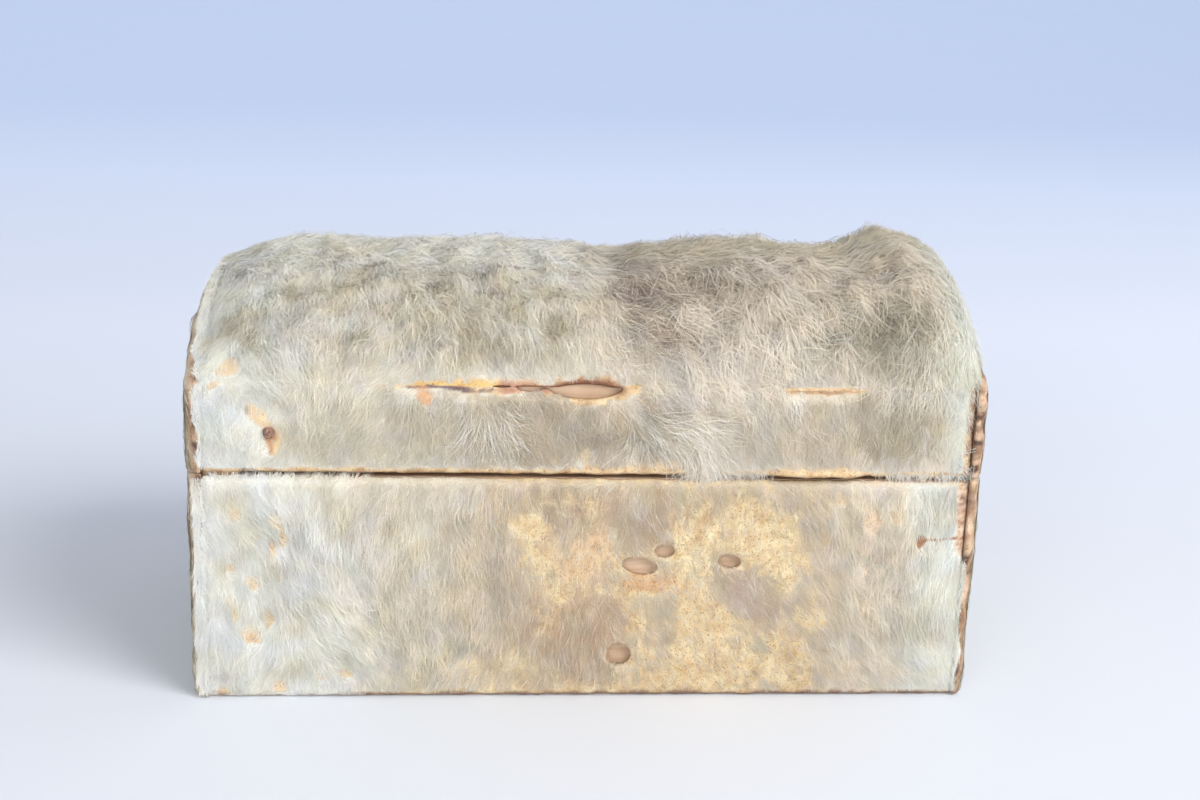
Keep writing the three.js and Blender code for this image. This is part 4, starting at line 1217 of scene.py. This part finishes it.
def top_stop(u, v):
    """1 where no hair may reach: the bare lower edge, the worn ridge, and past the ends."""
    overlap = 3.2 * on_dome(v)
    past_left = -u - HALF_LENGTH - np.maximum(overlap, 0.8 + 2.0 * cloud(u * 0, v, 6.0, 114))
    past_right = u - HALF_LENGTH - np.maximum(1.4 * overlap, 0.9 + 1.8 * cloud(u * 0, v, 7.0, 115))
    past = np.maximum.reduce([past_left, past_right, 0.5 - (SECTION_RUN - v)])
    seam = smooth(1.9 + 0.8 * cloud(u, v, 6.0, 82) + 2.6 * lip_at(u, v + 1) - v, -0.4, 0.4)
    seam = seam * (1 - hangs_over(u)) * (v < CREST)
    worn = 0.95 * smooth(top_wear(u, v), 0.35, 0.75)
    return np.maximum.reduce([smooth(past, -0.4, 0.4), seam, worn, smooth(-4.5 - v, -0.4, 0.4)])


def top_wear(u, v):
    """Places rubbed bare on the lid, the ridge's most of all."""
    bare = np.zeros(np.shape(u))
    for at_u, at_v, ru, rv, turn, strength in TOP_BARE:
        bare = np.maximum(bare, strength * blot(u, v, (at_u, at_v), (ru, rv), turn, 0.45, 81))
    return bare


def top_bare(u, v):
    """How bare the lid is: its worn places, a band along its lower edge, and its raw right end."""
    band = 1.6 + 0.9 * cloud(u, v, 6.0, 82) + 2.6 * lip_at(u, v * 0)
    band = band + 1.6 * blot(u, v, (8, 0), (14, 9), 0, 0.3, 83)
    edge = 1 - smooth(lower_edge(u, v) / band, 0.7, 1.2)
    raw = raw_right_edge(u - 1.0, 60 - 0.4 * v, 7) * smooth(34 - v, 0, 8)
    return np.clip(np.maximum.reduce([top_wear(u, v), edge, raw]), 0, 1)


# Washes on the lid's fur: the four darkest, on the dome at the hollows between locks and along the parting,
# are painted shade; the rest are browner and paler tones of the fur.
TOP_FUR_STAINS_AND_HOLLOW_SHADE = (
    ((160, 142, 128), (14, 60), (8, 9), -20, 0.9, 87, 0.8),
    ((164, 145, 128), (18, 44), (10, 5), -30, 0.9, 88, 0.8),
    ((166, 150, 136), (32, 63), (8, 6), -20, 0.9, 108, 0.7),
    ((150, 136, 124), (8, 74), (3, 18), 4, 0.9, 109, 0.4),
    ((188, 173, 150), (-14, 14), (36, 12), 0, 0.8, 89, 0.8),
    ((200, 186, 160), (60, 14), (30, 11), 0, 0.8, 90, 0.5),
    ((186, 175, 148), (86, 17), (13, 10), 0, 0.8, 91, 0.8),
    ((190, 182, 162), (86, 42), (20, 12), 0, 0.8, 110, 0.85),
    ((212, 203, 182), (-56, 13), (28, 11), 0, 0.8, 117, 0.7),
)
TOP_SPECKS = (
    ((160, 162, 154), (65, 44), (5, 3), 0, 0.8, 92, 0.8),
    ((228, 192, 96), (63.7, 55), (1.0, 1.0), 0, 0.4, 113, 0.7),
    ((152, 126, 96), (90, 35.5), (2.4, 1.5), -30, 0.5, 116, 0.8),
)


def top_fur_tint(u, v):
    """Pale at the left, mottled olive on the dome, browner on the rail and right of the parting. Paler on
    top of the dome at the left, partly as painted light on the top, and darker in the dome's hollows
    and along its parting, as painted shade."""
    drift = cloud(u, v, 16.0, 84)
    right = smooth(u + 8 * drift, -6, 10)
    dome = on_dome(v)
    # high is the top of the dome at the left: there the fur is made paler and less mottled, partly as painted
    # light on the top
    high = smooth(v, 55, 80) * (1 - right) * (1 - smooth(v, CREST, CREST + 30))
    return tone_of(
        (232, 226, 211),
        ((238, 238, 230), 1 - smooth(u + 9 * drift, -98, -72)),
        ((194, 184, 158), smooth(cloud(u, v, 8.0, 85), 0.0, 0.55) * 0.7 * dome),
        ((178, 165, 136), smooth(cloud(u, v, 5.0, 86), 0.2, 0.6) * 0.5 * dome * (1 - 0.8 * high)),
        ((232, 231, 220), smooth(cloud(u, v, 5.5, 103), 0.15, 0.6) * 0.6),
        ((250, 249, 241), high * 0.9),
        ((230, 220, 205), right * 0.8),
        *stains(u, v, TOP_FUR_STAINS_AND_HOLLOW_SHADE),
        ((204, 196, 168), smooth(v, 74, 88) * (1 - smooth(v, CREST + 4, CREST + 30)) * right * 0.5),
        ((221, 221, 209), smooth(u + 6 * drift, 94, 102)),
        *stains(u, v, TOP_SPECKS),
    )


RIDGE_STAINS = (
    ((226, 196, 130), (-34, 27.4), (22, 1.3), 0, 0.6, 94, 0.8),
    ((118, 104, 118), (-43, 24.7), (10, 1.6), 0, 0.9, 95, 0.9),
    ((190, 146, 136), (-20, 25.4), (11, 2.8), 0, 0.8, 96, 0.85),
    ((222, 166, 122), (-46.5, 22.2), (2.6, 2.8), 20, 0.8, 97, 0.8),
)
TACK_STAINS = (
    ((150, 96, 62), (-88.6, 10.8), (2.0, 2.4), 0, 0.5, 98, 0.8),
    ((176, 116, 72), (-88.8, 6.0), (0.8, 4.5), 0, 0.4, 99, 0.8),
    ((130, 112, 100), (-96, 19), (3.5, 1.0), -50, 0.5, 100, 0.7),
)
RIGHT_WEAR_STAIN = (
    ((140, 112, 98), (62, 25.0), (12, 0.7), 0, 0.8, 102, 0.6),
)


def top_skin_tint(u, v):
    """Golden skin, stained along the ridge, round the tack and at the lower edge, with painted shadow on
    the upper and right rim of the ridge's big hole.
    """
    hole_rim_shadow = blot(u, v, (-2.6, 25.9), (12, 4.3), 0, 0.2, 104)
    raw = raw_right_edge(u, 60 - 0.4 * v, 7)
    return tone_of(
        (228, 208, 172),
        ((200, 172, 140), smooth(cloud(u, v, 3.4, 93), 0.0, 0.6) * 0.8),
        *stains(u, v, RIDGE_STAINS),
        # painted shadow: the upper and right rim of the ridge's big hole made dark brown
        ((140, 92, 76), hole_rim_shadow * np.maximum(smooth(v, 25.5, 27.5), smooth(u, 4, 7)) * 0.85),
        *stains(u, v, TACK_STAINS),
        ((128, 96, 70), (1 - smooth(lower_edge(u, v) + 0.5 * cloud(u, v, 2.2, 101), 0.1, 0.7)) * 0.8),
        *stains(u, v, RIGHT_WEAR_STAIN),
        ((176, 146, 126), raw * smooth(cloud(u, v, 3.0, 106), -0.5, 0.1)),
        ((104, 80, 72), raw * smooth(cloud(u * 2, v, 1.8, 107), 0.1, 0.4)),
    )


def top_length(u, v):
    """Hair is longer on the dome right of the parting, and shorter in worn places."""
    return (1 + 0.2 * on_dome(v) * smooth(u, -10, 20)) * (1 - 0.35 * smooth(top_bare(u, v), 0.1, 0.6))


lid = finish_hide(SimpleNamespace(
    left=-HALF_LENGTH, right=HALF_LENGTH, low=RAIL_BOTTOM - SEAM + SEAM_INSET,
    high=SECTION_RUN - (RAIL_BOTTOM - SEAM) - SEAM_INSET, seed=61, place=over_lid, lock_lay=lay_over_lid,
    lay=combed(lay_over_lid, TOP_COMBS), thin=TOP_THIN, long_locks=LONG_LOCKS, fur=top_fur, bare=top_bare,
    fur_tint=top_fur_tint, skin_tint=top_skin_tint, unruly=0.5, stop=top_stop,
    extra=lambda u, v: LIP_CURL * lip_at(u, v) + lip_folds(u, v) + full_corner(u, v),
    curl=lambda u, v: LIP_CURL * lip_at(u, v),
    density=lambda u, v: 1 - 0.98 * smooth(top_bare(u, v), 0.2, 0.65),
    length=top_length,
))


def top_grid():
    """Grid over the lid's hide, finer on the front rail and at the rounded ends, its edge ragged."""
    share = np.linspace(-1, 1, TOP_COLUMNS + 1)
    across = HALF_LENGTH * (0.985 * share + 0.015 * share**15)
    cut = RAIL_HEIGHT + CORNER_RUN
    upward = np.concatenate([
        np.linspace(lid.low, cut, RAIL_ROWS, endpoint=False),
        np.linspace(cut, SECTION_RUN - cut, DOME_ROWS, endpoint=False),
        np.linspace(SECTION_RUN - cut, lid.high, BACK_ROWS_OF_LID + 1),
    ])
    u, v = np.meshgrid(across, upward)
    ragged = 0.45 * cloud(u, v * 0, 3.4, 111) + 1.3 * blot(u, v * 0, (-94.5, 0), (1.6, 1), 0, 0.1, 112)
    ragged = ragged - 1.0 * (1 - smooth(u, -97.5, -96))
    v = v + ragged * (1 - smooth(v - lid.low, 0, 4))
    return u, v, np.ones((len(upward) - 1, TOP_COLUMNS), bool)


make_sheet(lid, "lid_top_skin", "lid_top_hide", *round_holes(*top_grid(), RIDGE_HOLES))
RAIL_END = RAIL_HEIGHT + 2
BACK_START = CREST + 6
RAIL_REGION = (lid.left - OVERHANG, lid.right + SHORT_OVERHANG, lid.low, RAIL_END)
DOME_LEFT_REGION = (lid.left - OVERHANG, 0, RAIL_END, BACK_START)
DOME_RIGHT_REGION = (0, lid.right + OVERHANG, RAIL_END, BACK_START)
LID_BACK_REGION = (lid.left - OVERHANG, lid.right + OVERHANG, BACK_START, lid.high)
grow_fur(lid, "lid_rail_undercoat", RAIL_REGION, UNDERCOAT, 44000, 121)
grow_fur(lid, "lid_rail_hair", RAIL_REGION, TOP_COAT, 9000, 122)
grow_fur(lid, "lid_dome_left_undercoat", DOME_LEFT_REGION, UNDERCOAT, 84000, 123)
grow_fur(lid, "lid_dome_left_hair", DOME_LEFT_REGION, TOP_COAT, 15000, 124)
grow_fur(lid, "lid_dome_right_undercoat", DOME_RIGHT_REGION, UNDERCOAT, 78000, 125)
grow_fur(lid, "lid_dome_right_hair", DOME_RIGHT_REGION, LONG_COAT, 11500, 126)
grow_fur(lid, "lid_pale_lock", (9, 33, 5, 19), PALE_LOCK, 1500, 129)
grow_fur(lid, "lid_left_pale_lock", (-35, -23, 12, 21), PALE_LOCK, 500, 130)
grow_fur(lid, "lid_right_tuft", (88, 96, 31, 38), PALE_LOCK, 350, 131)
grow_fur(lid, "lid_back_undercoat", LID_BACK_REGION, HIDDEN_UNDERCOAT, 45000, 127)
grow_fur(lid, "lid_back_hair", LID_BACK_REGION, HIDDEN_TOP_COAT, 8000, 128)


# Tacks
# Two small rusty tacks, one in the lid's front at the left and one in the body's front at the right,
# their heads dented and crusted.
def tack_head(name, node):
    """A dented disc, domed: rings of points whose height falls off as the square of the radius."""
    low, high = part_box(node)
    middle = np.array(((low.x + high.x) / 2, low.y, (low.z + high.z) / 2)) / MM
    radius = (high.x - low.x) / MM / 2
    rings, sides = 8, 28
    turn = np.linspace(0, 2 * np.pi, sides, endpoint=False)
    share = np.concatenate([np.linspace(1 / rings, 1, rings), [1.02, 0.9]])
    depth = np.concatenate([0.55 * np.linspace(1 / rings, 1, rings) ** 2, [0.85, 1.0]])
    r = radius * share[:, None] * (1 + 0.06 * np.sin(3 * turn + 1) * share[:, None])
    y = depth[:, None] + 0.08 * cloud(r * np.cos(turn), r * np.sin(turn), 1.1, 131)
    points = np.stack([middle[0] + r * np.cos(turn), middle[1] + y, middle[2] + r * np.sin(turn)], -1)
    points = np.concatenate([points.reshape(-1, 3), [middle], [middle + (0, 1.0, 0)]])
    ring = np.arange(sides)
    after = np.roll(ring, -1)
    rows = np.arange(len(share) - 1)[:, None] * sides
    quads = np.stack([rows + ring, rows + after, rows + sides + after, rows + sides + ring], -1)
    quads = quads.reshape(-1, 4)
    last = (len(share) - 1) * sides
    front_cap = np.stack([after, ring, np.full(sides, len(points) - 2)], -1)
    back_cap = np.stack([last + ring, last + after, np.full(sides, len(points) - 1)], -1)
    faces = [quads[:, ::-1], front_cap[:, ::-1], back_cap[:, ::-1]]
    piece = mesh_object(name, points, faces, RUST)
    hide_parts(node)
    return piece


def rust_material():
    """Dull rust, pale on its crust and dark between."""
    material, tree, shader = new_material("rust", 0.85)
    place = add(tree, "ShaderNodeTexCoord", "Object")
    crust = add(tree, "ShaderNodeTexNoise", "Fac", Vector=place, Scale=1400.0, Detail=4.0)
    tone = ramp(tree, crust, (0.35, paint((96, 74, 68))), (0.55, paint((138, 108, 94))),
                (0.7, paint((178, 136, 104))))
    tree.links.new(tone, shader.inputs["Base Color"])
    bump = add(tree, "ShaderNodeBump", Height=crust, Strength=0.7, Distance=0.0002)
    tree.links.new(bump, shader.inputs["Normal"])
    return material


RUST = rust_material()
tack_head("lid_tack_head", "lid_front_tack")
tack_head("body_tack_head", "body_front_tack")
